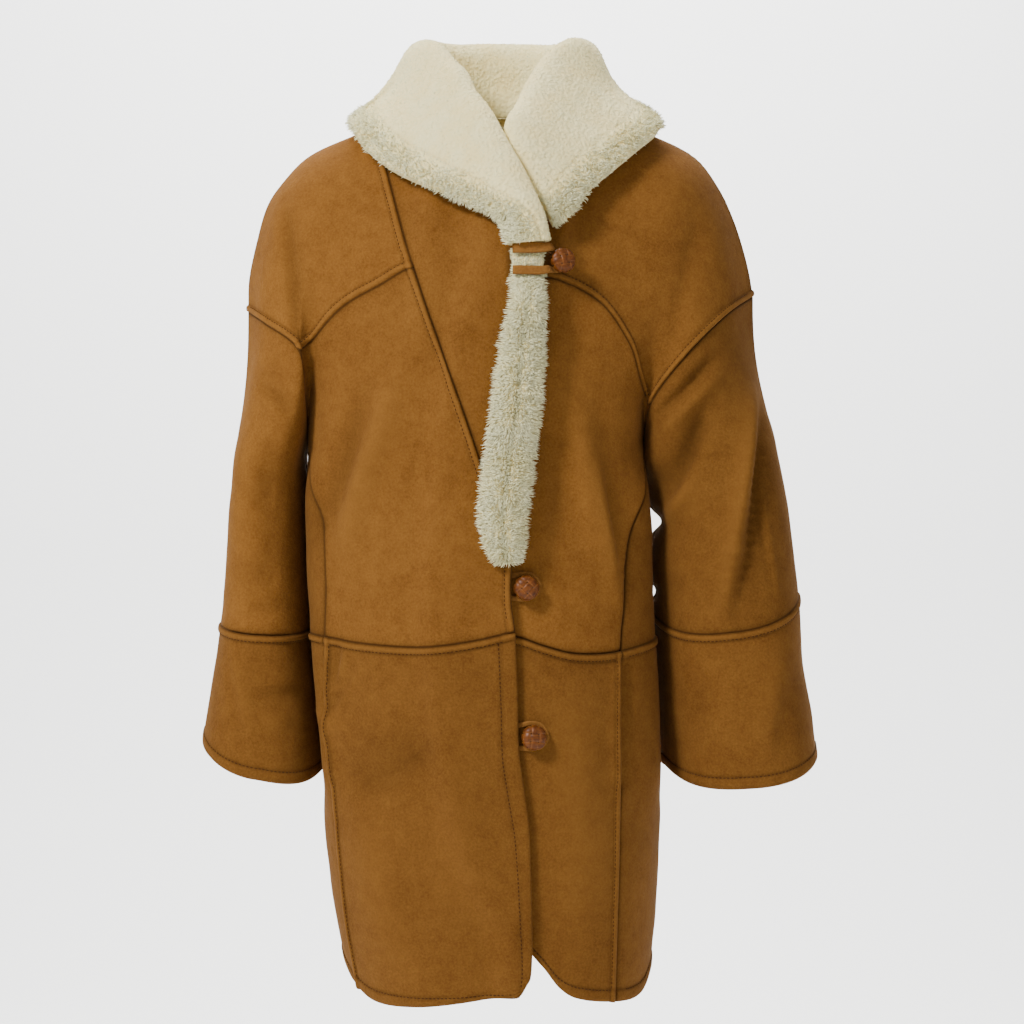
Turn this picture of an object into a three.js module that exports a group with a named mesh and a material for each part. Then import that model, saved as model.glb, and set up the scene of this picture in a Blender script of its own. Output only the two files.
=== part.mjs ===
import * as THREE from 'three';

// Shearling coat, worn form, hollow. Millimetres: X to the wearer's left, Y to the back, Z up.
// The origin lies between the shoulders, where the coat bears on its wearer.

// Driving dimensions
const wall = 5.5; // suede with its clipped fleece
const seamGap = 0.3; // left between two sewn pieces
const bandWidth = 8; // seam allowance laid to one side and topstitched
const bandFall = 2.5; // where the band drops to the panel
const bandRaise = 2;
const edgeRaise = 1.4; // height of a band at its seam
const hemBand = 12;
const hemRaise = 1.2;
const overlapLift = 9.8; // how far the right front lies over the left one
const overlapRamp = 30;
const armpit = -307;
const roundness = 0.83; // power of the rounded body section
const upperRun = 380; // length of a panel from shoulder to armpit level
const neckPoint = 0.36; // share of the way round at which the shoulder seam meets the collar
const buttonRadius = 13;
const buttonHeight = 15;
const loopThickness = 2.6;

const underArm = 0.55; // share of the armhole below which body and sleeve turn away from each other
const underArmRun = 0.2;

const FRONT = -1;
const BACK = 1;

const suede = { color: 0x95652b, roughness: 0.95, metalness: 0 };
const fleece = { color: 0xe8dfc2, roughness: 1, metalness: 0 };
const knotLeather = { color: 0x5c2714, roughness: 0.35, metalness: 0 };
const loopSuede = { color: 0x9a6c35, roughness: 0.9, metalness: 0 };

// Tables: a row is one section, seam point or fold
function table(columns, rows) {
  return rows.map((row) => Object.fromEntries(columns.map((name, i) => [name, row[i]])));
}

const bodySections = table(['z', 'left', 'right', 'front', 'back'], [
  [-307, -205, 150, -146, 118],
  [-400, -206, 155, -154, 124],
  [-456, -204, 157, -155, 127],
  [-515, -200, 161, -156, 131],
  [-600, -192, 165, -160, 138],
  [-650, -188, 167, -161, 141],
  [-700, -188, 167, -160, 142],
  [-755, -183, 165, -158, 141],
  [-800, -177, 162, -155, 139],
  [-840, -169, 159, -152, 136],
  [-890, -157, 155, -147, 131],
]);

const rightShoulder = table(['s', 'x', 'y', 'z'], [
  [0, -269, 0, -172],
  [0.04, -268, 0, -137],
  [0.08, -260, 0, -98],
  [0.12, -249, 0, -60],
  [0.16, -231, 0, -33],
  [0.2, -205, 2, -7],
  [0.25, -160, 4, 14],
  [neckPoint, -84, 8, 42],
]);
const leftShoulder = table(['s', 'x', 'y', 'z'], [
  [1 - neckPoint, 86, 8, 42],
  [0.75, 160, 4, 15],
  [0.8, 205, 2, -8],
  [0.84, 230, 0, -41],
  [0.88, 245, 0, -73],
  [0.92, 255, 0, -103],
  [0.96, 262, 0, -131],
  [1, 266, 0, -156],
]);
const rightNeckline = table(['s', 'x', 'y', 'z'], [
  [neckPoint, -84, 8, 42],
  [0.41, -74, -45, 17],
  [0.46, -50, -84, -38],
  [0.52, -8, -112, -80],
  [0.58, 40, -128, -118],
  [1 - neckPoint, 88, -134, -158],
]);
const leftNeckline = table(['s', 'x', 'y', 'z'], [
  [neckPoint, -60, -130, -165],
  [0.44, -12, -122, -130],
  [0.5, 26, -116, -104],
  [0.56, 60, -96, -66],
  [0.6, 76, -62, -3],
  [1 - neckPoint, 86, 8, 42],
]);
const backNeckline = table(['s', 'x', 'y', 'z'], [
  [neckPoint, -84, 8, 42],
  [0.43, -56, 56, 38],
  [0.5, 1, 72, 35],
  [0.57, 58, 56, 38],
  [1 - neckPoint, 86, 8, 42],
]);

// Where the sleeves are set in: t runs from the outer top of the arm to the armpit
const dropSeams = {
  rightFront: table(['t', 'x', 'y', 'z'], [
    [0, -269, 0, -172],
    [0.25, -246, -62, -188],
    [0.5, -209, -92, -217],
    [0.75, -203, -70, -266],
    [1, -205, 0, -307],
  ]),
  rightBack: table(['t', 'x', 'y', 'z'], [
    [0, -269, 0, -172],
    [0.25, -250, 58, -190],
    [0.5, -216, 84, -222],
    [0.75, -205, 64, -268],
    [1, -205, 0, -307],
  ]),
  leftFront: table(['t', 'x', 'y', 'z'], [
    [0, 266, 0, -156],
    [0.25, 233, -62, -180],
    [0.5, 191, -90, -222],
    [0.75, 155, -72, -270],
    [1, 150, 0, -307],
  ]),
  leftBack: table(['t', 'x', 'y', 'z'], [
    [0, 266, 0, -156],
    [0.25, 240, 58, -182],
    [0.5, 203, 84, -224],
    [0.75, 163, 64, -270],
    [1, 150, 0, -307],
  ]),
};

// Seams and edges on the fronts and the back, as drawn on the laid-out panel
const rightYokeSeam = table(['x', 'z'], [
  [-205, -217], [-165, -175], [-124, -152], [-91, -136], [-40, -150], [60, -178],
]);
const leftYokeSeam = table(['x', 'z'], [
  [-60, -172], [-20, -160], [15, -150], [44, -145], [100, -169], [133, -214], [143, -245], [153, -272],
]);
const backYokeSeam = table(['x', 'z'], [
  [-210, -222], [-120, -178], [0, -168], [120, -178], [205, -224],
]);
const rightWaist = table(['x', 'z'], [
  [-201, -508], [-175, -512], [-146, -517], [-82, -520], [-30, -514], [16, -503],
]);
const leftWaist = table(['x', 'z'], [
  [-65, -503], [14, -509], [40, -518], [75, -527], [120, -526], [150, -516], [163, -508],
]);
const backWaist = table(['x', 'z'], [
  [-201, -508], [-120, -516], [0, -518], [120, -516], [163, -508],
]);
const rightHem = table(['x', 'z'], [
  [-166, -852], [-152, -872], [-130, -885], [-90, -886], [-50, -881], [0, -872], [22, -869], [30, -852],
]);
const leftHem = table(['x', 'z'], [
  [15, -806], [31, -830], [44, -845], [59, -865], [76, -876], [120, -884], [146, -880], [158, -858],
]);
const backHem = table(['x', 'z'], [
  [-166, -852], [-120, -866], [0, -872], [120, -868], [158, -858],
]);
const slantSeam = table(['z', 'x'], [
  [30, -136], [-23, -121], [-132, -91], [-301, -32], [-400, -1], [-432, 7.5],
]);
const rightFrontEdge = table(['z', 'x'], [
  [-118, 40], [-155, 34], [-200, 32], [-250, 29], [-300, 22], [-350, 17], [-400, 12], [-445, 9.5],
  [-475, 9.5], [-503, 13], [-575, 16], [-625, 17.5], [-660, 22], [-700, 27], [-790, 30], [-835, 30],
  [-858, 27], [-870, 18],
]);
const hiddenFrontEdge = table(['z', 'x'], [
  [-130, -12], [-200, -32], [-307, -50], [-500, -62], [-620, -50], [-740, -22], [-806, 14], [-830, 16],
]);
// Side seams: how far round from the side they lie at each height
const sideSeams = {
  rightFront: table(['z', 's'], [
    [-307, 0.006], [-320, 0.06], [-345, 0.12], [-380, 0.17], [-430, 0.198], [-512, 0.181], [-600, 0.156],
    [-740, 0.152], [-830, 0.141], [-890, 0.128],
  ]),
  leftFront: table(['z', 's'], [
    [-307, 0.006], [-320, 0.05], [-345, 0.1], [-400, 0.184], [-472, 0.217], [-525, 0.235], [-620, 0.251],
    [-740, 0.256], [-890, 0.25],
  ]),
  back: table(['z', 's'], [
    [-307, 0.006], [-320, 0.05], [-345, 0.1], [-400, 0.16], [-512, 0.19], [-640, 0.19], [-890, 0.18],
  ]),
};

// The collar from its right tip round the neck to its left one: the roll at the neck (roll), the outer edge
// on the coat (edge) with its distance from the coat (lift), and the seam at the neckline (base)
const collarColumns = [
  'rollX', 'rollY', 'rollZ', 'edgeX', 'edgeZ', 'lift', 'baseX', 'baseY', 'baseZ', 'roll', 'thick', 'behind',
];
const collarSections = table(collarColumns, [
  [45, -150, -111, 7, -119, 9, 30, -141, -113, 5, 10, 0],
  [37, -147, -83, -14, -97, 9, 22, -138, -97, 7, 14, 0],
  [21, -136, -46, -40, -76, 9, 0, -127, -78, 9, 16, 0],
  [3, -114, -8, -74, -61, 9, -36, -104, -46, 9, 16, 0],
  [-16, -84, 32, -108, -42, 9, -62, -72, -16, 9, 16, 0],
  [-33, -55, 64, -134, -20, 9, -68, -42, 24, 10, 14, 0],
  [-50, -28, 88, -151, 1, 10, -74, -18, 38, 10, 14, 0],
  [-68, 2, 106, -159, 20, 12, -79, 6, 52, 10, 14, 0],
  [-77, 38, 113, -150, 36, 16, -76, 34, 48, 11, 13, 1],
  [-60, 76, 117, -112, 36, 18, -54, 58, 44, 12, 12, 1],
  [-30, 95, 119, -60, 24, 18, -28, 71, 41, 12, 12, 1],
  [1, 100, 120, 1, 18, 18, 1, 75, 40, 12, 12, 1],
  [32, 95, 119, 62, 24, 18, 30, 71, 41, 12, 12, 1],
  [62, 76, 117, 116, 36, 18, 56, 58, 44, 12, 12, 1],
  [80, 38, 115, 156, 36, 16, 77, 34, 48, 11, 13, 1],
  [72, 4, 110, 168, 22, 12, 80, 6, 52, 10, 14, 0],
  [50, -14, 98, 158, 2, 12, 76, -16, 40, 10, 14, 0],
  [33, -34, 74, 137, -16, 12, 70, -40, 24, 10, 14, 0],
  [17, -64, 42, 112, -38, 14, 60, -70, 0, 9, 14, 0],
  [4, -94, 12, 86, -62, 15, 46, -100, -36, 8, 13, 0],
  [12, -108, -26, 68, -84, 12, 40, -116, -60, 6, 11, 0],
  [28, -122, -60, 54, -98, 9, 36, -126, -84, 4, 8, 0],
]);

// The fleece strip on the right front's edge, and what fastens the coat
const stripSections = table(['z', 'left', 'right', 'thick'], [
  [-121.5, 9, 41, 7],
  [-136, 10, 41, 7],
  [-151, 10, 42, 8],
  [-170, 8, 43, 15],
  [-211, -1, 42, 17],
  [-272, -11, 38, 17],
  [-322, -18, 31, 17],
  [-372, -23, 26, 17],
  [-412, -21, 22, 16],
  [-430, -11, 19, 12],
  [-438, -2, 14, 7],
]);
const buttons = table(['x', 'z', 'shank', 'seat'], [
  [57, -132, 12.7, -0.45],
  [24, -460, 4.5, seamGap],
  [31.5, -610, 4.5, seamGap],
]);
// Loops round the buttons' shanks: a path with its height over the right front (over 1) or the left one
const loopColumns = ['x', 'z', 'height', 'width', 'over'];
const topLoop = table(loopColumns, [
  [11, -125, 12.6, 9, 1], [24, -125, 12.8, 9, 1], [36, -125, 12.6, 9, 1], [44, -125, 11.5, 8, 1],
  [50, -125, 9, 6, 0], [56, -125.5, 7, 4, 0], [62, -127, 6.6, 4, 0], [65, -133, 6.6, 4, 0],
  [62, -138, 6.6, 4, 0], [56, -140.5, 7, 4, 0], [50, -141, 9, 6, 0], [44, -143, 11.5, 8, 1],
  [36, -144, 12.6, 9, 1],
  [24, -144, 12.8, 9, 1], [11, -144, 12.6, 9, 1],
]);
const lowLoop = table(loopColumns, [
  [-30, 9, 0.8, 5, 0], [-14, 11, 0.8, 5, 0], [-2, 13, 0.8, 5, 0], [7, 11.5, 0.8, 5, 0], [13, 5, 0.8, 5, 0],
  [14, -2, 0.8, 5, 0], [10, -9, 0.8, 5, 0], [2, -12, 0.8, 5, 0], [-6, -12, 0.8, 5, 0], [-14, -11, 0.8, 5, 0],
  [-30, -9, 0.8, 5, 0],
]);

// Folds: a curve from a start over a middle to an end point, its width and its height (a trough is negative)
const foldColumns = ['x0', 'z0', 'x1', 'z1', 'x2', 'z2', 'width', 'height'];
const frontFolds = table(foldColumns, [
  [-108, -250, -133, -331, -168, -440, 17, 6],
  [-128, -240, -156, -320, -186, -410, 16, -4],
  [-226, -63, -213, -145, -204, -222, 15, -6],
  [-72, -613, -112, -636, -160, -663, 24, -5],
  [-150, -690, -120, -740, -118, -840, 26, 4],
  [76, -262, 89, -346, 122, -480, 16, 6],
  [94, -262, 108, -346, 132, -440, 14, -4],
  [204, -52, 192, -120, 156, -262, 17, -6],
  [150, -330, 142, -400, 148, -470, 14, 3],
  [70, -560, 78, -680, 84, -840, 26, 4],
  [-40, -560, -52, -700, -40, -850, 30, 3],
]);
const backFolds = table(foldColumns, [
  [-226, -70, -212, -145, -206, -222, 16, -6],
  [210, -60, 196, -130, 166, -262, 17, -6],
  [-120, -260, -140, -350, -150, -470, 18, 6],
  [108, -255, 118, -350, 122, -480, 18, 6],
  [-60, -420, -5, -440, 60, -415, 22, -5],
  [-95, -560, -100, -700, -92, -850, 26, 5],
  [20, -550, 26, -690, 18, -850, 28, 4],
  [90, -570, 96, -700, 100, -850, 24, 4],
]);

// Sleeves: sections down the arm, with the heights of the cuff seam and of the rim round them
const rightSleeve = {
  front: dropSeams.rightFront,
  back: dropSeams.rightBack,
  sections: table(['z', 'outer', 'inner', 'front', 'back'], [
    [-172, -269, -196, -88, 84],
    [-240, -275, -205, -86, 86],
    [-320, -282, -209, -82, 86],
    [-382, -288, -210, -78, 84],
    [-440, -292, -209, -76, 80],
    [-510, -298, -205, -77, 78],
    [-570, -307, -199, -80, 78],
    [-620, -315, -194, -82, 77],
    [-670, -318, -193, -82, 76],
  ]),
  cuffSeam: { outer: -499, front: -511, inner: -506, back: -505 },
  rim: { outer: -620, front: -660, inner: -654, back: -640 },
  folds: table(foldColumns, [
    [-254, -250, -236, -262, -212, -284, 12, -4],
    [-284, -350, -262, -368, -232, -372, 16, -5],
    [-285, -440, -262, -455, -228, -450, 18, -4],
    [-282, -526, -274, -566, -262, -608, 13, 4],
    [-252, -570, -226, -578, -200, -568, 12, -4],
  ]),
};
const leftSleeve = {
  front: dropSeams.leftFront,
  back: dropSeams.leftBack,
  sections: table(['z', 'outer', 'inner', 'front', 'back'], [
    [-156, 266, 190, -86, 84],
    [-223, 275, 166, -88, 86],
    [-300, 287, 154, -92, 84],
    [-371, 301, 162, -96, 80],
    [-400, 305, 166, -97, 79],
    [-434, 309, 163, -98, 78],
    [-473, 313, 165, -99, 77],
    [-540, 317, 169, -98, 76],
    [-600, 327, 172, -98, 76],
    [-670, 336, 180, -96, 74],
  ]),
  cuffSeam: { outer: -467, front: -507, inner: -492, back: -484 },
  rim: { outer: -636, front: -668, inner: -652, back: -648 },
  folds: table(foldColumns, [
    [262, -250, 256, -324, 224, -489, 14, 7],
    [280, -262, 276, -340, 252, -500, 15, -8],
    [214, -276, 196, -320, 164, -366, 16, -8],
    [224, -225, 190, -262, 152, -296, 10, -4],
    [200, -352, 186, -372, 166, -392, 12, 5],
    [300, -520, 280, -560, 270, -630, 16, 4],
    [196, -540, 204, -590, 200, -640, 14, -3],
  ]),
};

// Number helpers
const mix = THREE.MathUtils.lerp;
const clamp = THREE.MathUtils.clamp;
const point = (x, y, z) => new THREE.Vector3(x, y, z);
const range = (count) => Array.from({ length: count }, (_, i) => i);

function ease(value) {
  const f = clamp(value, 0, 1);
  return f * f * (3 - 2 * f);
}

// A smooth curve through a table's rows
function curveAt(rows, key, at, column) {
  const sign = Math.sign(rows[1][key] - rows[0][key]);
  let i = 0;
  while (i < rows.length - 2 && (at - rows[i + 1][key]) * sign > 0) i += 1;
  const span = rows[i + 1][key] - rows[i][key];
  const f = clamp((at - rows[i][key]) / span, 0, 1);
  const slope = (j) => {
    const before = rows[Math.max(j - 1, 0)];
    const after = rows[Math.min(j + 1, rows.length - 1)];
    return ((after[column] - before[column]) / (after[key] - before[key])) * span;
  };
  const [a, b, ma, mb] = [rows[i][column], rows[i + 1][column], slope(i), slope(i + 1)];
  const rest = 1 - f;
  return a * rest * rest * (1 + 2 * f) + b * f * f * (3 - 2 * f) + ma * f * rest * rest - mb * f * f * rest;
}

function pointAt(rows, key, at) {
  return point(curveAt(rows, key, at, 'x'), curveAt(rows, key, at, 'y'), curveAt(rows, key, at, 'z'));
}

// The value between low and high at which a rising function passes zero
function bisect(rising, low, high) {
  let [a, b] = [low, high];
  for (let step = 0; step < 30; step += 1) {
    const middle = (a + b) / 2;
    if (rising(middle) > 0) b = middle;
    else a = middle;
  }
  return (a + b) / 2;
}

const rounded = (value) => Math.sign(value) * Math.abs(value) ** roundness;

// The body's surface: s runs from the right side to the left one over the front or the back,
// t from the shoulder line (0) over armpit level (1) to the hem (2)
function ringPoint(side, s, z) {
  const at = (column) => curveAt(bodySections, 'z', z, column);
  const [left, right] = [at('left'), at('right')];
  const depth = side === FRONT ? at('front') : at('back');
  const x = (left + right) / 2 - ((right - left) / 2) * rounded(Math.cos(Math.PI * s));
  return point(x, depth * rounded(Math.sin(Math.PI * s)), z);
}

function topPoint(neckline, s) {
  if (s <= neckPoint) return pointAt(rightShoulder, 's', s);
  if (s >= 1 - neckPoint) return pointAt(leftShoulder, 's', s);
  return pointAt(neckline, 's', s);
}

function plainUpper(side, neckline, s, t) {
  const top = topPoint(neckline, s);
  const low = ringPoint(side, s, armpit);
  const angle = (Math.PI / 2) * t * (1.35 - 0.35 * t);
  return point(
    mix(top.x, low.x, t ** 1.3),
    mix(top.y, low.y, Math.sin(angle)),
    mix(low.z, top.z, Math.cos(angle)),
  );
}

// Near each armhole the surface is drawn to the seam where the sleeve is set in
const armholeReach = 0.3;

function upperPoint(side, neckline, s, t) {
  const right = s < 0.5;
  const seam = side === FRONT
    ? (right ? dropSeams.rightFront : dropSeams.leftFront)
    : (right ? dropSeams.rightBack : dropSeams.leftBack);
  const plain = plainUpper(side, neckline, s, t);
  const start = pointAt(seam, 't', t);
  const pull = start.clone().sub(plainUpper(side, neckline, right ? 0 : 1, t));
  const away = right ? s : 1 - s;
  const weight = 1 - ease(away / armholeReach);
  const seamDepth = Math.abs(start.y) * (1 - 0.15 * ease(2 * away));
  const plainDepth = Math.max(plain.y * side, 0);
  const depth = (plainDepth ** 6 + seamDepth ** 6) ** (1 / 6) + Math.min(plain.y * side, 0);
  return point(plain.x + pull.x * weight, depth * side, plain.z + pull.z * weight);
}

// A function of s from 0 to 1, kept as evenly spaced samples
function sampled(evaluate, samples = 96) {
  const values = range(samples + 1).map((i) => evaluate(i / samples));
  return (s) => {
    const place = clamp(s, 0, 1) * samples;
    const i = Math.min(Math.floor(place), samples - 1);
    return mix(values[i], values[i + 1], place - i);
  };
}

function hemHeights(hem, side) {
  return sampled((s) => {
    let z = -870;
    for (let step = 0; step < 12; step += 1) z = curveAt(hem, 'x', ringPoint(side, s, z).x, 'z');
    return z;
  });
}

function bodyPoint(layer, s, t) {
  if (t <= 1) return upperPoint(layer.side, layer.neckline, s, t);
  return ringPoint(layer.side, s, mix(armpit, layer.hemAt(s), t - 1));
}


function foldHeight(folds, x, z) {
  return folds.reduce((sum, fold) => {
    const steps = 8;
    let nearest = Infinity;
    let share = 0;
    for (let i = 0; i <= steps; i += 1) {
      const f = i / steps;
      const px = (1 - f) ** 2 * fold.x0 + 2 * f * (1 - f) * fold.x1 + f * f * fold.x2;
      const pz = (1 - f) ** 2 * fold.z0 + 2 * f * (1 - f) * fold.z1 + f * f * fold.z2;
      const away = Math.hypot(x - px, z - pz);
      if (away < nearest) [nearest, share] = [away, f];
    }
    const taper = Math.sqrt(Math.sin(Math.PI * clamp(share, 0.02, 0.98)));
    return sum + fold.height * taper * Math.exp(-((nearest / fold.width) ** 2));
  }, 0);
}

function overlapHeight(x, z) {
  const edge = curveAt(hiddenFrontEdge, 'z', z, 'x');
  return overlapLift * ease((x - edge + overlapRamp + 4) / overlapRamp);
}

function layerOf(side, neckline, hem, folds, over) {
  return { side, neckline, hemAt: hemHeights(hem, side), folds, over };
}

const rightFront = layerOf(FRONT, rightNeckline, rightHem, frontFolds, true);
const leftFront = layerOf(FRONT, leftNeckline, leftHem, frontFolds, false);
const backSheet = layerOf(BACK, backNeckline, backHem, backFolds, false);

// The unit normal, outward, taken from the surface's neighbouring points
function bodyNormal(layer, s, t) {
  const step = 0.004;
  const [low, high] = t > 1 ? [1.0001, 2] : [0, 1];
  const across = bodyPoint(layer, Math.min(s + step, 1), t).sub(bodyPoint(layer, Math.max(s - step, 0), t));
  const along = bodyPoint(layer, s, Math.min(t + step, high)).sub(bodyPoint(layer, s, Math.max(t - step, low)));
  return across.cross(along).normalize().multiplyScalar(layer.side);
}

// Front and back share their normals where they are sewn together
function sewnNormal(layer, s, t) {
  const normal = bodyNormal(layer, s, t);
  const onShoulder = t < 0.0001 && (s <= neckPoint + 0.0001 || s >= 1 - neckPoint - 0.0001);
  const onSide = (s < 0.003 || s > 0.997) && t > 0.999;
  if (!onShoulder && !onSide) return normal;
  const other = layer.side === BACK ? (s < 0.5 ? rightFront : leftFront) : backSheet;
  return normal.add(bodyNormal(other, s, t)).normalize();
}

// A point of the finished surface with its normal
function clothAt(layer, s, t) {
  const base = bodyPoint(layer, s, t);
  const normal = sewnNormal(layer, s, t);
  const sideFade = ease((Math.min(s, 1 - s) - 0.004) / 0.04);
  const lift = layer.over ? overlapHeight(base.x, base.z) : 0;
  const height = foldHeight(layer.folds, base.x, base.z) * sideFade + lift;
  return { at: base.addScaledVector(normal, height), normal };
}

// Rows are functions of s that give t; they follow the seams across a sheet
const fixedRow = (t) => () => t;
const blendRows = (from, to, share) => (s) => mix(from(s), to(s), share);

function seamRow(layer, seam, low, high) {
  return sampled((s) => bisect((t) => {
    const at = bodyPoint(layer, s, t);
    return curveAt(seam, 'x', at.x, 'z') - at.z;
  }, low, high));
}

const skirtRun = 565; // length of a panel from armpit level to the hem
const shiftRow = (row, millimetres, run) => (s) => row(s) + millimetres / run;

function tier(from, to, count, run, band) {
  const rows = range(count + 1).map((i) => ({ row: blendRows(from, to, i / count), raise: 0 }));
  if (band === 'last') {
    const inner = shiftRow(to, -bandWidth - bandFall, run);
    const rowsIn = range(count).map((i) => ({ row: blendRows(from, inner, i / (count - 1)), raise: 0 }));
    const crest = { row: shiftRow(to, -bandWidth, run), raise: bandRaise };
    return [...rowsIn, crest, { row: to, raise: edgeRaise }];
  }
  if (band === 'first') {
    const inner = shiftRow(from, bandWidth + bandFall, run);
    const rowsIn = range(count).map((i) => ({ row: blendRows(inner, to, i / (count - 1)), raise: 0 }));
    const crest = { row: shiftRow(from, bandWidth, run), raise: bandRaise };
    return [{ row: from, raise: edgeRaise }, crest, ...rowsIn];
  }
  return rows;
}

// Edges of a panel: the s at which a row crosses a seam
const fixedEdge = (s) => () => s;

function seamEdge(layer, seam, low = 0, high = 1) {
  return (row) => bisect((s) => {
    const at = bodyPoint(layer, s, row(s));
    return at.x - curveAt(seam, 'z', at.z, 'x');
  }, low, high);
}

function sideEdge(layer, seam, atRight) {
  return (row) => {
    let share = 0.1;
    for (let step = 0; step < 8; step += 1) {
      const s = atRight ? 1 - share : share;
      share = curveAt(seam, 'z', bodyPoint(layer, s, row(s)).z, 's');
    }
    return atRight ? 1 - share : share;
  };
}

// Columns: a share of the panel's width, or a distance from one of its edges
function columnsOf(shares, leftBand, rightBand) {
  const count = shares.length - 1;
  const columns = shares.map((share) => ({ share, left: 0, right: 0 }));
  const steps = [0, bandWidth, bandWidth + bandFall];
  const start = leftBand ? steps.map((left) => ({ share: 0, left, right: 0 })) : [columns[0]];
  const end = rightBand ? steps.map((right) => ({ share: 1, left: 0, right })).reverse() : [columns[count]];
  return [...start, ...columns.slice(1, count), ...end];
}

function bandProfile(distance) {
  if (distance > bandWidth + 0.1) return 0;
  return distance > bandWidth - 0.1 ? bandRaise : edgeRaise;
}

// The bands along a panel's edges are narrower where the panel runs to a tip
function bandSizes(sheetAt, row, left, right) {
  const width = sheetAt(left, row).at.distanceTo(sheetAt(right, row).at) + 0.01;
  const narrow = Math.min(1, (0.3 * width) / (bandWidth + bandFall));
  return { width, narrow, bandShare: ((bandWidth + bandFall) * narrow) / width };
}

// The grid of a body panel: rows down it, columns from its left edge to its right one
function panelGrid(sheetAt, rows, leftEdge, rightEdge, columns, bands = {}) {
  return rows.map(({ row, raise }) => {
    const [left, right] = [leftEdge(row), rightEdge(row)];
    const { width, narrow, bandShare } = bandSizes(sheetAt, row, left, right);
    const innerStart = columns.some((c) => c.left > 0) ? bandShare : 0;
    const innerEnd = columns.some((c) => c.right > 0) ? 1 - bandShare : 1;
    return columns.map((column) => {
      const inside = column.share > 0 && column.share < 1;
      const share = inside
        ? mix(innerStart, innerEnd, column.share)
        : column.share + ((column.left - column.right) * narrow) / width;
      const s = mix(left, right, share);
      const sample = sheetAt(s, row);
      const leftRaise = bands.left && column.share === 0 ? bandProfile(column.left) : 0;
      const rightRaise = bands.right && column.share === 1 ? bandProfile(column.right) : 0;
      return { ...sample, s, raise: Math.max(raise, leftRaise * narrow, rightRaise * narrow) };
    });
  });
}

const onLayer = (layer) => (s, row) => clothAt(layer, s, row(s));

// A side panel bends round the side: negative places lie on the back sheet
function sideGrid(frontLayer, frontRows, backRowsHere, frontEdge, backEdge, columns) {
  const atRight = frontLayer === leftFront;
  const fromSide = (s) => (atRight ? 1 - s : s);
  return frontRows.map(({ row, raise }, i) => {
    const behind = backRowsHere[i].row;
    const [front, back] = [fromSide(frontEdge(row)), fromSide(backEdge(behind))];
    return range(columns + 1).map((j) => {
      const place = mix(-back, front, j / columns);
      const s = fromSide(Math.abs(place));
      const cell = place < 0 ? clothAt(backSheet, s, behind(s)) : clothAt(frontLayer, s, row(s));
      return { ...cell, raise };
    });
  });
}

// Draws an edge point back by half the gap, square to the edge
function insetEdges(grid, half = seamGap / 2) {
  const rows = grid.length;
  const columns = grid[0].length;
  const moved = grid.map((line) => line.map((cell) => ({ ...cell, at: cell.at.clone() })));
  const pull = (i, j, inI, inJ, alongI, alongJ) => {
    const here = grid[i][j].at;
    const inward = grid[inI][inJ].at.clone().sub(here);
    const [a, b] = alongI;
    const [c, d] = alongJ;
    const edge = grid[c][d].at.clone().sub(grid[a][b].at).normalize();
    inward.addScaledVector(edge, -inward.dot(edge)).normalize();
    moved[i][j].at.addScaledVector(inward, half);
  };
  range(columns).forEach((j) => {
    const [a, b] = [Math.max(j - 1, 0), Math.min(j + 1, columns - 1)];
    pull(0, j, 1, j, [0, a], [0, b]);
    pull(rows - 1, j, rows - 2, j, [rows - 1, a], [rows - 1, b]);
  });
  range(rows).forEach((i) => {
    const [a, b] = [Math.max(i - 1, 0), Math.min(i + 1, rows - 1)];
    pull(i, 0, i, 1, [a, 0], [b, 0]);
    pull(i, columns - 1, i, columns - 2, [a, columns - 1], [b, columns - 1]);
  });
  return moved;
}

// A closed solid from an outer and an inner grid of points
function solidFromSkins(outer, inner, closedRound = false) {
  const rows = outer.length;
  const columns = outer[0].length;
  const positions = [...outer.flat(), ...inner.flat()].flatMap((p) => [p.x, p.y, p.z]);
  const top = (i, j) => i * columns + (j % columns);
  const under = (i, j) => rows * columns + top(i, j);
  const faces = [];
  const quad = (a, b, c, d) => faces.push(a, b, c, a, c, d);
  const lastColumn = closedRound ? columns : columns - 1;
  for (let i = 0; i < rows - 1; i += 1) {
    for (let j = 0; j < lastColumn; j += 1) {
      quad(top(i, j), top(i + 1, j), top(i + 1, j + 1), top(i, j + 1));
      quad(under(i, j), under(i, j + 1), under(i + 1, j + 1), under(i + 1, j));
    }
  }
  for (let j = 0; j < lastColumn; j += 1) {
    quad(top(0, j), top(0, j + 1), under(0, j + 1), under(0, j));
    quad(top(rows - 1, j), under(rows - 1, j), under(rows - 1, j + 1), top(rows - 1, j + 1));
  }
  if (!closedRound) {
    for (let i = 0; i < rows - 1; i += 1) {
      quad(top(i, 0), under(i, 0), under(i + 1, 0), top(i + 1, 0));
      quad(top(i, columns - 1), top(i + 1, columns - 1), under(i + 1, columns - 1), under(i, columns - 1));
    }
  }
  return outwardGeometry(positions, faces);
}

function outwardGeometry(positions, faces) {
  let volume = 0;
  const corner = (k) => point(positions[3 * k], positions[3 * k + 1], positions[3 * k + 2]);
  for (let k = 0; k < faces.length; k += 3) {
    volume += corner(faces[k]).dot(corner(faces[k + 1]).cross(corner(faces[k + 2])));
  }
  if (volume < 0) faces.reverse();
  const geometry = new THREE.BufferGeometry();
  geometry.setAttribute('position', new THREE.Float32BufferAttribute(positions, 3));
  geometry.setIndex(faces);
  return geometry;
}

// Where a seam bends sharply its two sides stand a little wider apart
const sharpInset = 0.3;

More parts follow.
